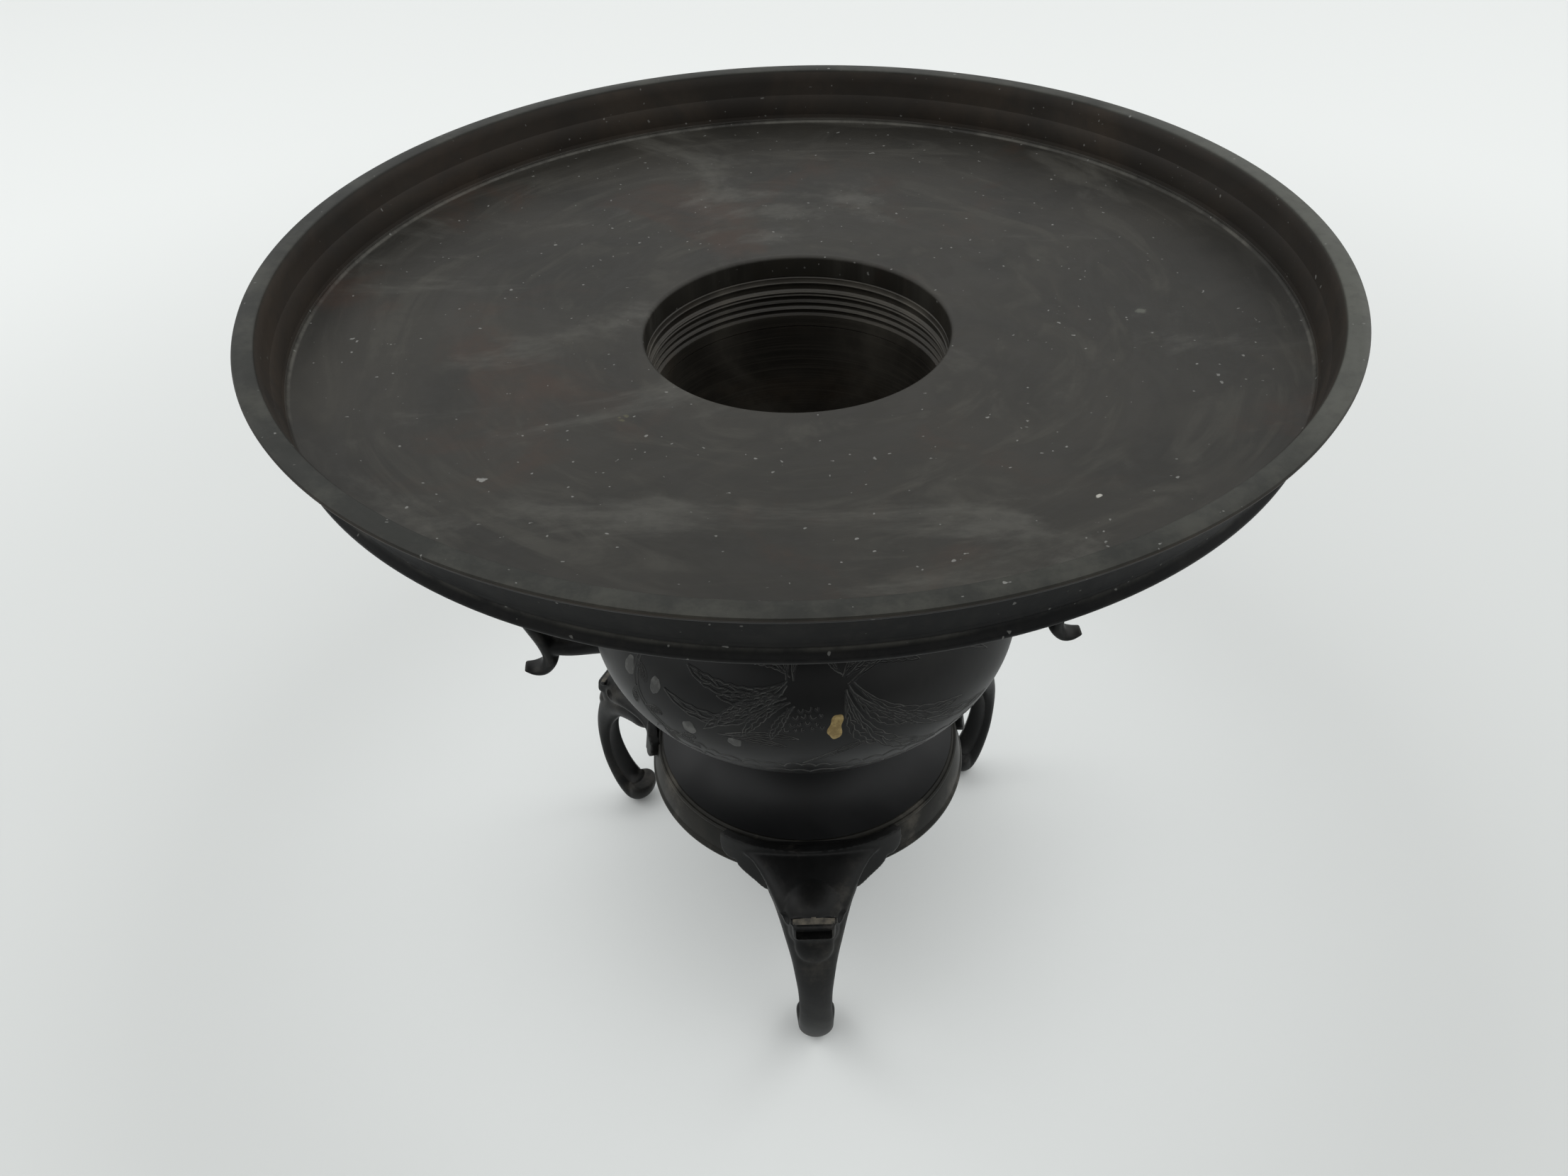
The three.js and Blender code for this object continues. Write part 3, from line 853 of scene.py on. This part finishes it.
@dataclass
class Bowl:
    """The squat hollow bowl."""

    belly: float = 70.8
    rise: float = 43.8
    middle: float = 138.1
    wall: float = 3.2
    foot: float = 99.0
    top: float = 169.8
    core: float = 10.5

    def angle(self, height: float, rise: float) -> float:
        """Angle on the bowl's section, in degrees, at a height."""
        return math.degrees(math.asin((height - self.middle) / rise))

    def outline(self) -> list[Point]:
        """The bowl's section."""
        inner = (self.belly - self.wall, self.rise - self.wall)
        floor = self.foot + self.wall
        outside = arc((0, self.middle), (self.belly, self.rise), self.angle(self.foot, self.rise),
                      self.angle(self.top, self.rise), 48)
        hollow = arc((0, self.middle), inner, self.angle(self.top, inner[1]), self.angle(floor, inner[1]), 30)
        return [(self.core, self.foot), *outside, *hollow, (self.core, floor)]

    def surface(self, azimuth: float, height: float, proud: float = 0.0) -> Vector:
        """A place on the bowl's outside.

        Args:
            azimuth: degrees from +X.
            height: mm from the floor.
            proud: mm outside the metal.

        Returns:
            The place in metres.
        """
        slope = max(-1.0, min(1.0, (height - self.middle) / self.rise))
        radius = self.belly * math.sqrt(1 - slope * slope)
        out = Vector((radius / self.belly ** 2, slope / self.rise)).normalized() * proud
        turn = math.radians(azimuth)
        radius += out.x
        return Vector((radius * math.cos(turn), radius * math.sin(turn), height + out.y)) * MM

    def build(self, finishes: Finishes) -> None:
        """Turns the bowl and dresses it."""
        place(lathe("bowl_shell", self.outline(), FINE), Body.VESSEL, finishes.bowl, ("bowl",))


@dataclass(frozen=True)
class Leaf:
    """A long engraved leaf from one place on the bowl to another: azimuth in degrees, height in mm."""

    root: Point
    tip: Point
    sag: float = 0.0
    wide: float = 1.6
    barbs: int = 0


@dataclass
class Engraving:
    """Scroll leaves, a stem and a scalloped border cut round the bowl, with metal let in.

    Each cut line is a dark thread let into the metal with a thin pale thread beside it, a painted highlight
    standing for light caught by the cut's edge.
    """

    bowl: Bowl
    cut: float = 0.26
    # painted highlight: half thickness in mm of the pale thread beside each cut
    highlight_radius: float = 0.15
    lines: list[list[Point]] = field(default_factory=list)

    LEAVES = (
        Leaf((-95, 158), (-123, 157), 3.4, 1.5, 7), Leaf((-95, 157), (-128, 148), 7.5, 1.7, 9),
        Leaf((-96, 155), (-112, 145), -1.5, 1.5, 5), Leaf((-95, 154), (-116, 140), -2.5, 1.8, 6),
        Leaf((-94, 153), (-106, 141), -2, 1.5, 4), Leaf((-95, 158), (-113, 152), 2, 1.4, 5),
        Leaf((-93, 152), (-99, 141), -1, 1.4, 3), Leaf((-94, 159), (-110, 162), -2, 1.4, 4),
        Leaf((-79, 156), (-36, 148), 9, 1.7, 10), Leaf((-79, 155), (-37, 132), -5, 2.0, 10),
        Leaf((-80, 155), (-55, 127), -6, 2.2, 7), Leaf((-80, 154), (-73, 136), -3, 2.0, 5),
        Leaf((-79, 156), (-62, 141), -3.5, 1.8, 6), Leaf((-78, 157), (-48, 140), -4.5, 1.7, 7),
        Leaf((-79, 158), (-58, 157), 3, 1.4, 5), Leaf((-80, 158), (-70, 163), 1.5, 1.3, 3),
        Leaf((-93, 158), (-91, 166), 1, 1.0, 0), Leaf((-95, 158), (-97, 166), -1, 1.0, 0),
        Leaf((-80, 159), (-84, 166), 1, 1.0, 0), Leaf((-89, 131), (-76, 138), 0.6, 0.8, 0),
        Leaf((-91, 130), (-80, 136), 0.4, 0.7, 0), Leaf((-112, 139), (-95, 138), 1, 0.9, 0),
        Leaf((-110, 140), (-92, 141), 1.4, 0.9, 0),
    )
    STEM = ((-139, 166), (-139, 153), (-137.5, 143), (-133, 136), (-126, 131), (-118, 129))

    def along(self, start: Point, stop: Point, sag: float, steps: int) -> list[Point]:
        """A bowed line from one place to another.

        Args:
            start: azimuth and height.
            stop: azimuth and height.
            sag: mm that its middle stands off the straight line.
            steps: number of segments.

        Returns:
            The line's places.
        """
        per_degree = math.radians(self.bowl.belly)
        run = Vector(((stop[0] - start[0]) * per_degree, stop[1] - start[1]))
        aside = Vector((-run.y, run.x)).normalized() * sag
        line = []
        for i in range(steps + 1):
            t = i / steps
            bow = 4 * t * (1 - t)
            line.append((start[0] + (run.x * t + aside.x * bow) / per_degree,
                         start[1] + run.y * t + aside.y * bow))
        return line

    def shifted(self, line: list[Point], widths: list[float]) -> list[Point]:
        """The line moved sideways by a width in mm at each place."""
        per_degree = math.radians(self.bowl.belly)
        moved = []
        for i, (azimuth, height) in enumerate(line):
            a, b = line[max(i - 1, 0)], line[min(i + 1, len(line) - 1)]
            run = Vector(((b[0] - a[0]) * per_degree, b[1] - a[1])).normalized()
            moved.append((azimuth - run.y * widths[i] / per_degree, height + run.x * widths[i]))
        return moved

    def leaf(self, leaf: Leaf, turn: float) -> None:
        """Cuts one leaf: two edges, a rib that wavers and short barbs.

        Args:
            leaf: the leaf.
            turn: degrees that it is carried round the bowl.
        """
        steps = 22
        root, tip = (leaf.root[0] + turn, leaf.root[1]), (leaf.tip[0] + turn, leaf.tip[1])
        spine = self.along(root, tip, leaf.sag, steps)
        swell = [leaf.wide * math.sin(math.pi * (i / steps) ** 1.5) ** 0.8 for i in range(steps + 1)]
        wave = [0.16 * leaf.wide * math.sin(i * 1.9 + leaf.root[0]) for i in range(steps + 1)]
        edge = [w * (1 + 0.16 * math.sin(i * 2.3)) for i, w in enumerate(swell)]
        self.lines.append(self.shifted(spine, edge))
        self.lines.append(self.shifted(spine, [-w for w in edge]))
        self.lines.append(self.shifted(spine, wave)[: steps - 1])
        for k in range(leaf.barbs):
            at = 6 + int((steps - 8) * k / max(leaf.barbs, 1))
            side = 1 if k % 2 else -1
            start = spine[at]
            stop = self.shifted(spine, [side * 0.85 * w for w in swell])[min(at + 2, steps)]
            self.lines.append(self.along(start, stop, 0.2 * side, 4))

    def border(self, first: float, last: float, height: float) -> None:
        """Cuts a scalloped border.

        Args:
            first: azimuth where it starts.
            last: azimuth where it stops.
            height: mm of its foot.
        """
        at = first
        foot = height
        while at < last:
            span = random.uniform(3.0, 6.5)
            rise = random.uniform(-1.6, 1.6)
            nearer = max(height - 2.5, min(height + 2.5, foot + rise))
            self.lines.append(self.along((at, foot), (at + span, nearer), random.uniform(1.1, 2.2), 8))
            at += span
            foot = nearer

    def stem(self, turn: float) -> None:
        """Cuts the paired lines of a stem with its small leaves."""
        line = flow([(a + turn, z) for a, z in self.STEM], 5)
        for aside in (-0.7, 0.7):
            self.lines.append(self.shifted(line, [aside] * len(line)))
        for at, side in ((6, 1), (10, -1), (14, 1), (18, -1), (21, 1)):
            start = line[at]
            stop = self.shifted(line, [side * 4.6] * len(line))[min(at + 3, len(line) - 1)]
            self.leaf(Leaf(start, stop, 0.5 * side, 1.2), 0)

    def rosette(self, azimuth: float, height: float) -> None:
        """Cuts a small crest of overlapping scales."""
        for row in range(4):
            for k in range(5 - row % 2):
                a = azimuth + (k - 2 + 0.5 * (row % 2)) * 2.1 + random.uniform(-0.35, 0.35)
                z = height + row * 2.0 + random.uniform(-0.5, 0.5)
                half = random.uniform(0.5, 1.0)
                slant = random.uniform(-0.6, 0.6)
                self.lines.append(self.along((a - half, z - slant), (a + half, z + slant), -1.1, 6))

    def threads(self, name: str, radius: float, proud: float, aside: float,
                finish: bpy.types.Material) -> None:
        """Lays all the lines on the bowl as round threads.

        Args:
            name: the piece's name.
            radius: half thickness in mm.
            proud: height of the thread's middle over the metal in mm.
            aside: sideways shift in mm.
            finish: its material.
        """
        deselect()
        bpy.ops.curve.primitive_nurbs_path_add()
        piece = bpy.context.object
        piece.name = name
        data = piece.data
        data.splines.clear()
        data.bevel_depth = radius * MM
        data.bevel_resolution = 1
        data.use_fill_caps = True
        for line in self.lines:
            moved = self.shifted(line, [aside] * len(line))
            spline = data.splines.new("POLY")
            spline.points.add(len(moved) - 1)
            for point, (azimuth, height) in zip(spline.points, moved):
                point.co = (*self.bowl.surface(azimuth, height, proud), 1)
        bpy.ops.object.convert(target="MESH")
        shade(piece, math.radians(60))
        place(piece, Body.VESSEL, finish)

    def build(self, finishes: Finishes) -> None:
        """Cuts the front and the back of the bowl alike."""
        for turn in (0, 180):
            for leaf in self.LEAVES:
                self.leaf(leaf, turn)
            self.stem(turn)
            self.rosette(-90.6 + turn, 145)
            self.border(-132 + turn, -42 + turn, 129)
            self.border(-128 + turn, -60 + turn, 124)
        self.threads("cut_lines", self.cut, -0.1, 0, finishes.line_dark)
        # pale threads beside the cuts: painted highlight
        self.threads("painted_cut_highlights", self.highlight_radius, -0.02, 0.34, finishes.line_highlight)


@dataclass(frozen=True)
class Inlay:
    """A patch of other metal let into the bowl."""

    name: str
    azimuth: float
    height: float
    wide: float
    tall: float
    turn: float
    slot: Slot
    pinch: float = 0.0

    def edge(self, angle: float) -> Point:
        """Outline of the patch at an angle, in mm, before it is turned."""
        ragged = 1 + 0.07 * math.sin(3 * angle + self.azimuth) + 0.03 * math.sin(7 * angle)
        waist = 1 - self.pinch * math.exp(-((math.sin(angle) - 0.2) / 0.42) ** 2)
        return (math.cos(angle) * self.wide / 2 * ragged * waist, math.sin(angle) * self.tall / 2 * ragged)

    def build(self, bowl: Bowl, finish: bpy.types.Material) -> None:
        """Shapes the patch and lays it on the bowl.

        Args:
            bowl: the bowl.
            finish: its material.
        """
        deselect()
        bpy.ops.mesh.primitive_circle_add(vertices=48, radius=1)
        piece = bpy.context.object
        piece.name = self.name + "_patch"
        bpy.ops.object.mode_set(mode="EDIT")
        bpy.ops.mesh.select_all(action="SELECT")
        for share in (0.93, 0.8, 0.7, 0.6, 0.4):
            bpy.ops.mesh.extrude_edges_move()
            bpy.ops.transform.resize(value=(share, share, 1), center_override=(0, 0, 0))
        bpy.ops.mesh.merge(type="CENTER")
        bpy.ops.mesh.select_all(action="SELECT")
        bpy.ops.mesh.normals_make_consistent(inside=False)
        bpy.ops.object.mode_set(mode="OBJECT")
        lean = math.radians(self.turn)
        radius = (bowl.surface(0, self.height).x) / MM
        for corner in piece.data.vertices:
            far = math.hypot(corner.co.x, corner.co.y)
            x, z = self.edge(math.atan2(corner.co.y, corner.co.x))
            x, z = x * far, z * far
            across = x * math.cos(lean) - z * math.sin(lean)
            up = x * math.sin(lean) + z * math.cos(lean)
            proud = 0.1 if far < 0.97 else 0.02
            corner.co = bowl.surface(self.azimuth + math.degrees(across / radius), self.height + up, proud)
        apply(piece, "SOLIDIFY", thickness=0.35 * MM, offset=-1.0)
        shade(piece, math.radians(50))
        place(piece, Body.VESSEL, finish, (self.name,))


INLAYS = (
    Inlay("gold_inlay", -83, 145, 5.4, 8.0, -14, Slot.GOLD, 0.42),
    Inlay("silver_inlay_1", -141, 147.5, 4.6, 6.0, 6, Slot.SILVER),
    Inlay("silver_inlay_2", -131, 147, 4.0, 5.6, -6, Slot.SILVER),
    Inlay("silver_inlay_3", -120, 138, 5.4, 4.8, 20, Slot.SILVER, 0.25),
    Inlay("silver_inlay_4", -107.7, 137.6, 5.0, 3.4, -10, Slot.SILVER, 0.2),
)


@dataclass
class Base:
    """The waist moulding, trumpet pedestal and foot ring."""

    def waist(self) -> list[Point]:
        """Section of the waist moulding."""
        return [(25, 93.3), *arc((33.4, 96), (3.2, 2.7), -90, 90, 14), (25, 98.7)]

    def trumpet(self) -> list[Point]:
        """Section of the pedestal."""
        outer = arc((63.2, 93), (31, 21.3), 250, 180, 28)
        inner = [p for p in arc((63.2, 93), (34, 24.3), 180, 250, 28) if p[1] > 74.5]
        return [(inner[-1][0] + 3, 73), *outer, *inner]

    def foot(self) -> list[Point]:
        """Section of the foot ring: bead, sloping band and raised upper edge."""
        bead = arc((56.4, 60.4), (0.75, 1.0), -80, 70, 8)
        slope = [(56.35, 61.8), (56.15, 62.2), (56.3, 62.6), (54.7, 69.6), (54.3, 70.2)]
        edge = arc((54.0, 71.2), (0.7, 0.75), -50, 120, 8)
        return [(49.5, 59.3), (56.2, 59.3), *bead, *slope, *edge, (53.2, 72.4), (52.9, 72.7), (49.5, 72.7)]

    def build(self, finishes: Finishes) -> None:
        """Turns the three pieces and dresses them."""
        place(lathe("waist", self.waist(), FINE), Body.VESSEL, finishes.pedestal, ("waist_ring",))
        place(lathe("trumpet", self.trumpet(), FINE), Body.VESSEL, finishes.pedestal,
              ("pedestal",))
        place(lathe("foot_moulding", self.foot(), FINE), Body.VESSEL, finishes.foot,
              ("foot_ring",))


# ---------------------------------------------------------------- legs and handles


@dataclass
class Legs:
    """Three legs cast as long-nosed beasts' heads; each clasps the foot ring with its ears."""

    azimuths: dict[str, float] = field(default_factory=lambda: {"front": -89.5, "right": 34.5, "left": 155})
    grain: float = 0.5
    ear_reach: float = 32.6
    ear_top: float = 74.0
    floor_gap: float = 0.02

    def trunk(self) -> bpy.types.Object:
        """The trunk, from inside the head to the foot that curls under."""
        rows = [(60, 63, 15, 7.2), (64, 62.8, 15.2, 7.6), (69.4, 62, 13.2, 7.8), (75, 60.6, 11.4, 7.7),
                (79.8, 57.4, 9.7, 7), (84.0, 51.6, 7.8, 5.6), (87.0, 45, 6.6, 4.2), (88.5, 38, 5.8, 3.4),
                (88.6, 30, 5.6, 3.1), (87.5, 22, 5.8, 3.2), (85.0, 14, 6, 3.6), (81.8, 8.1, 6.2, 4.5),
                (78.8, 5.1, 6.4, 4.9), (76.6, 6.7, 6.8, 5.2), (75.6, 9.2, 6.7, 5), (75.3, 10.5, 5.7, 4.2)]
        return sweep("trunk", [Station(*row) for row in rows], 4, 28)

    def brow(self) -> bpy.types.Object:
        """The brow, which fans out from the snout to the ears along the ring."""
        rows = [(50, 69.4, 27, 2.6), (54, 69.8, 23.6, 3.0), (57.5, 69.9, 20.6, 3.2), (60.5, 69.6, 18.6, 3.4),
                (63.5, 69.0, 16.9, 3.8), (66.5, 68.6, 15.5, 4), (70, 68.0, 14, 4.3), (73.5, 67.0, 12.6, 4.6),
                (77, 65.4, 11, 4.4)]
        return sweep("brow", [Station(*row) for row in rows], 4, 36)

    def ears(self) -> bpy.types.Object:
        """The curved plate that clasps the ring, with two lobes to each ear."""
        lower = flow([(0, 53.6), (8, 53.8), (13, 54.4), (16, 55.6), (19, 58), (22, 60.2), (24.6, 62)], 4)
        lower += flow([(25.4, 63.4), (26, 64.4), (28, 64.0), (30.4, 64.6), (32, 66.4), (32.7, 69.0)], 4)
        columns = 81
        rows = 9
        deselect()
        bpy.ops.mesh.primitive_grid_add(x_subdivisions=columns - 1, y_subdivisions=rows - 1, size=2)
        plate = bpy.context.object
        plate.name = "ears"
        for corner in plate.data.vertices:
            across, share = corner.co.x, (corner.co.y + 1) / 2
            aside = abs(across) * self.ear_reach
            low = self.height_at(lower, aside)
            high = self.ear_top - 1.6 * abs(across) ** 6
            up = low + (high - low) * share
            radius = 57.0 + 2.8 * (73.9 - up) / 20 - 1.9 * abs(across) ** 6
            turn = math.copysign(aside, across) / 58
            corner.co = Vector((radius * math.cos(turn), radius * math.sin(turn), up)) * MM
        only(plate)
        bpy.ops.object.mode_set(mode="EDIT")
        bpy.ops.mesh.select_all(action="SELECT")
        bpy.ops.mesh.normals_make_consistent(inside=False)
        bpy.ops.object.mode_set(mode="OBJECT")
        apply(plate, "SOLIDIFY", thickness=3.6 * MM, offset=0.0)
        apply(plate, "BEVEL", width=0.8 * MM, segments=3, limit_method="ANGLE")
        return plate

    @staticmethod
    def height_at(line: list[Point], aside: float) -> float:
        """Height of the ear plate's lower edge at a distance to the side."""
        for (x0, z0), (x1, z1) in pairwise(line):
            if x0 <= aside <= x1:
                return z0 + (z1 - z0) * (aside - x0) / max(x1 - x0, 1e-6)
        return line[-1][1]

    def pattern(self, finishes: Finishes) -> bpy.types.Object:
        """One leg along +X, fused, carved and smoothed."""
        lumps = [
            self.trunk(),
            self.brow(),
            self.ears(),
            ball("forehead", (74.3, 0, 65.4), (10.3, 10.6, 8.3)),
            ball("muzzle", (80.2, 0, 62.2), (6.2, 8.4, 7.4), -20),
            ball("lip", (84.7, 0, 59.6), (2.9, 6.4, 7.0), -27),
            block("jaw", (82.9, 0, 66.2), (6.4, 13.8, 6.4), -8, 1.5),
            block("ledge", (82.8, 0, 69.4), (2.0, 15.6, 1.2), 14, 0.4),
        ]
        leg = fuse("leg", lumps, self.grain)
        apply(leg, "SMOOTH", factor=0.5, iterations=3)
        carve(leg, block("slot", (86.2, 0, 66.6), (7.4, 11.6, 4.4), -4, 0.7))
        for side in (-1, 1):
            carve(leg, ball("eye", (79.6, 9.9 * side, 66.6), (2.6, 2.6, 2.4)))
        channel = [(80.6, 47, 1.6, 1.8), (82.2, 44, 3.4, 2.6), (84.4, 38, 4.2, 2.8), (85.0, 30, 4.4, 2.8),
                   (83.9, 22, 4.6, 2.8), (81.0, 14.8, 4.7, 2.6), (78.2, 11.4, 4.5, 2.2),
                   (75.6, 13.2, 3.4, 1.4)]
        carve(leg, sweep("channel", [Station(*row) for row in channel], 4, 24))
        self.flatten_foot(leg)
        shade(leg, math.radians(40))
        leg.data.materials.clear()
        leg.data.materials.append(finishes.leg)
        leg.data.materials.append(finishes.ledge)
        # the ledge's faces get the pale finish: dust and a painted highlight on its top
        for face in leg.data.polygons:
            spot = face.center / MM
            on_ledge = 82.3 < spot.x < 84.0 and abs(spot.y) < 6.6 and 69.5 < spot.z < 70.6
            face.material_index = 1 if on_ledge else 0
        return leg

    def flatten_foot(self, leg: bpy.types.Object) -> None:
        """Cuts the foot flat on the floor."""
        only(leg)
        bpy.ops.object.mode_set(mode="EDIT")
        bpy.ops.mesh.select_all(action="SELECT")
        bpy.ops.mesh.bisect(plane_co=(0, 0, self.floor_gap * MM), plane_no=(0, 0, 1), clear_inner=True,
                            use_fill=True)
        bpy.ops.mesh.select_all(action="SELECT")
        bpy.ops.mesh.normals_make_consistent(inside=False)
        bpy.ops.object.mode_set(mode="OBJECT")

    def build(self, finishes: Finishes) -> None:
        """Casts one leg and copies it to the three places."""
        leg = self.pattern(finishes)
        for name, azimuth in self.azimuths.items():
            twin = copy_turned(leg, f"{name}_leg", azimuth)
            place(twin, Body.VESSEL, None, (f"leg_{name}",))
        bpy.data.objects.remove(leg)


@dataclass
class Handles:
    """Two scroll handles from the neck to the belly, each ending in a curled spur."""

    azimuths: dict[str, float] = field(default_factory=lambda: {"right": 3.5, "left": 183.5})
    grain: float = 0.45

    def pattern(self) -> bpy.types.Object:
        """One handle along +X."""
        arch = [(47, 205.5, 5, 4.4), (50, 205.9, 5, 4.2), (56, 206.5, 4.6, 3.8), (70, 208, 4.2, 3.4),
                (86, 203, 4.2, 3.3), (97, 190, 4.4, 3.3), (101, 172, 4.8, 3.3), (98.6, 154, 5.2, 3.3),
                (93.2, 137, 5.4, 3.2), (88.6, 125, 5.2, 3.1), (87.2, 117.4, 5, 2.9), (89.4, 112.6, 4.6, 2.2),
                (93.2, 111.4, 3.8, 1.6), (96.8, 112.3, 2.6, 0.8)]
        strut = [(62.6, 122.6, 5.6, 4.6), (70, 122.4, 5.2, 4.4), (80, 121.6, 5, 3.8), (88, 122.4, 4.6, 3.2)]
        handle = fuse("handle", [
            sweep("arch", [Station(*row) for row in arch], 5, 24),
            sweep("strut", [Station(*row) for row in strut], 4, 24),
        ], self.grain)
        apply(handle, "SMOOTH", factor=0.5, iterations=4)
        shade(handle, math.radians(50))
        return handle

    def build(self, finishes: Finishes) -> None:
        """Makes one handle and copies it to both sides."""
        handle = self.pattern()
        for name, azimuth in self.azimuths.items():
            twin = copy_turned(handle, f"{name}_handle", azimuth)
            place(twin, Body.VESSEL, finishes.leg, (f"handle_{name}",))
        bpy.data.objects.remove(handle)


# ---------------------------------------------------------------- studio


@dataclass
class Studio:
    """Pale floor with painted light and shade in rings round the object, soft light from above and the
    camera.
    """

    eye: Triple = (0.0, -0.34274, 0.43168)
    pitch: float = 0.7054
    yaw: float = -0.0189
    roll: float = -0.0366
    lens: float = 30.92

    def build(self) -> None:
        """Sets up the floor, the lights and the camera."""
        self.floor()
        self.lights()
        self.camera()

    def floor(self) -> None:
        """Lays the floor, its colour painted in rings round the object as painted light and shade."""
        deselect()
        bpy.ops.mesh.primitive_plane_add(size=12)
        floor = bpy.context.object
        floor.name = "floor"
        n = Nodes("paper_painted_falloff")
        tone = n.noise(3, detail=3)
        colour = n.mix(n.ramp(tone, 0.3, 0.7), (0.69, 0.705, 0.7, 1), (0.72, 0.735, 0.73, 1))
        far = n.add("ShaderNodeVectorMath", operation="LENGTH")
        n.link(n.place, far.inputs[0])
        # painted light and shade: the floor is paler within 8 cm of the object and darker from 26 cm out
        ring = n.ramp(far.outputs["Value"], 0.08, 0.26)
        colour = n.mix(ring, colour, (0.495, 0.505, 0.5, 1))
        # painted light: the floor turns a little paler again from 0.4 m to 0.85 m out
        painted_far_falloff = n.ramp(far.outputs["Value"], 0.4, 0.85)
        colour = n.mix(painted_far_falloff, colour, (0.58, 0.59, 0.585, 1))
        n.link(colour, n.shader.inputs["Base Color"])
        n.shader.inputs["Roughness"].default_value = 0.85
        floor.data.materials.append(n.material)

    def lights(self) -> None:
        """Hangs one wide soft light overhead in a pale room."""
        world = bpy.data.worlds.new("room")
        world.use_nodes = True
        self.room_glow(world.node_tree)
        bpy.context.scene.world = world
        for name, spot, size, power in (
            ("ceiling", (0, -0.05, 1.9), 2.2, 11.0),
            ("window", (-1.3, 0.5, 1.1), 0.9, 2.6),
            ("doorway", (1.3, 0.7, 1.1), 0.9, 1.8),
        ):
            deselect()
            bpy.ops.object.light_add(type="AREA", location=spot)
            lamp = bpy.context.object
            lamp.name = name
            lamp.data.size = size
            lamp.data.energy = power
            aim = Vector((0, 0, 0.15)) - Vector(spot)
            lamp.rotation_euler = aim.to_track_quat("-Z", "Y").to_euler()

    def room_glow(self, tree: bpy.types.NodeTree) -> None:
        """Makes the room bright above and at the sides, and dim low down in front.

        Args:
            tree: the world's nodes.
        """
        back = tree.nodes["Background"]
        back.inputs["Color"].default_value = (0.97, 0.985, 0.98, 1)
        axes = tree.nodes.new("ShaderNodeSeparateXYZ")
        tree.links.new(tree.nodes.new("ShaderNodeTexCoord").outputs["Generated"], axes.inputs[0])
        rise = self.world_range(tree, axes.outputs["Z"], 0.0, 0.6, 0.4, 1.42)
        front = self.world_range(tree, axes.outputs["Y"], -0.97, -0.4, 0.2, 1.0)
        total = tree.nodes.new("ShaderNodeMath")
        total.operation = "MULTIPLY"
        tree.links.new(rise, total.inputs[0])
        tree.links.new(front, total.inputs[1])
        tree.links.new(total.outputs[0], back.inputs["Strength"])

    @staticmethod
    def world_range(tree: bpy.types.NodeTree, value: bpy.types.NodeSocket, low: float, high: float,
                    bottom: float, top: float) -> bpy.types.NodeSocket:
        """A number taken smoothly from one range to another, in the world's nodes."""
        made = tree.nodes.new("ShaderNodeMapRange")
        made.interpolation_type = "SMOOTHSTEP"
        tree.links.new(value, made.inputs[0])
        for socket, number in zip(made.inputs[1:5], (low, high, bottom, top)):
            socket.default_value = number
        return made.outputs[0]

    def camera(self) -> None:
        """Sets the camera."""
        ahead = Vector((math.sin(self.yaw) * math.cos(self.pitch),
                        math.cos(self.yaw) * math.cos(self.pitch), -math.sin(self.pitch)))
        right = Vector((math.cos(self.yaw), -math.sin(self.yaw), 0))
        up = right.cross(ahead)
        x = math.cos(self.roll) * right + math.sin(self.roll) * up
        y = math.cos(self.roll) * up - math.sin(self.roll) * right
        data = bpy.data.cameras.new("camera")
        data.lens = self.lens
        data.sensor_width = 36
        data.clip_start = 0.01
        camera = bpy.data.objects.new("camera", data)
        bpy.context.scene.collection.objects.link(camera)
        turn = Matrix((x, y, -ahead)).transposed().to_4x4()
        camera.matrix_world = Matrix.Translation(self.eye) @ turn
        bpy.context.scene.camera = camera
        bpy.context.scene.view_settings.view_transform = "Standard"


def dress_rest(frame: dict, finishes: Finishes) -> None:
    """Gives the CAD nodes that stay their materials.

    Args:
        finishes: the finishes.
    """
    stay = {
        "bowl_plug": finishes.bowl,
        **{f"leg_pin_{name}": finishes.leg for name in ("front", "right", "left")},
        **{f"handle_pin_{side}_{end}": finishes.leg
           for side in ("right", "left") for end in ("upper", "lower")},
    }
    for name, finish in stay.items():
        mesh = frame["nodes"][name].data
        mesh.materials.clear()
        mesh.materials.append(finish)


def main(frame: dict) -> None:
    """Builds every sub-assembly in order."""
    logging.basicConfig(level=logging.INFO, format="%(name)s: %(message)s")
    random.seed(SEED)
    finishes = Finishes()
    Studio().build()
    bowl = Bowl()
    for part in (Dish(), Throat(), Neck(), bowl, Engraving(bowl), Base(), Legs(), Handles()):
        part.build(finishes)
    for inlay in INLAYS:
        inlay.build(bowl, finishes.gold if inlay.slot is Slot.GOLD else finishes.silver)
    dress_rest(frame, finishes)


if __name__ == "__main__":
    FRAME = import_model()
    main(FRAME)
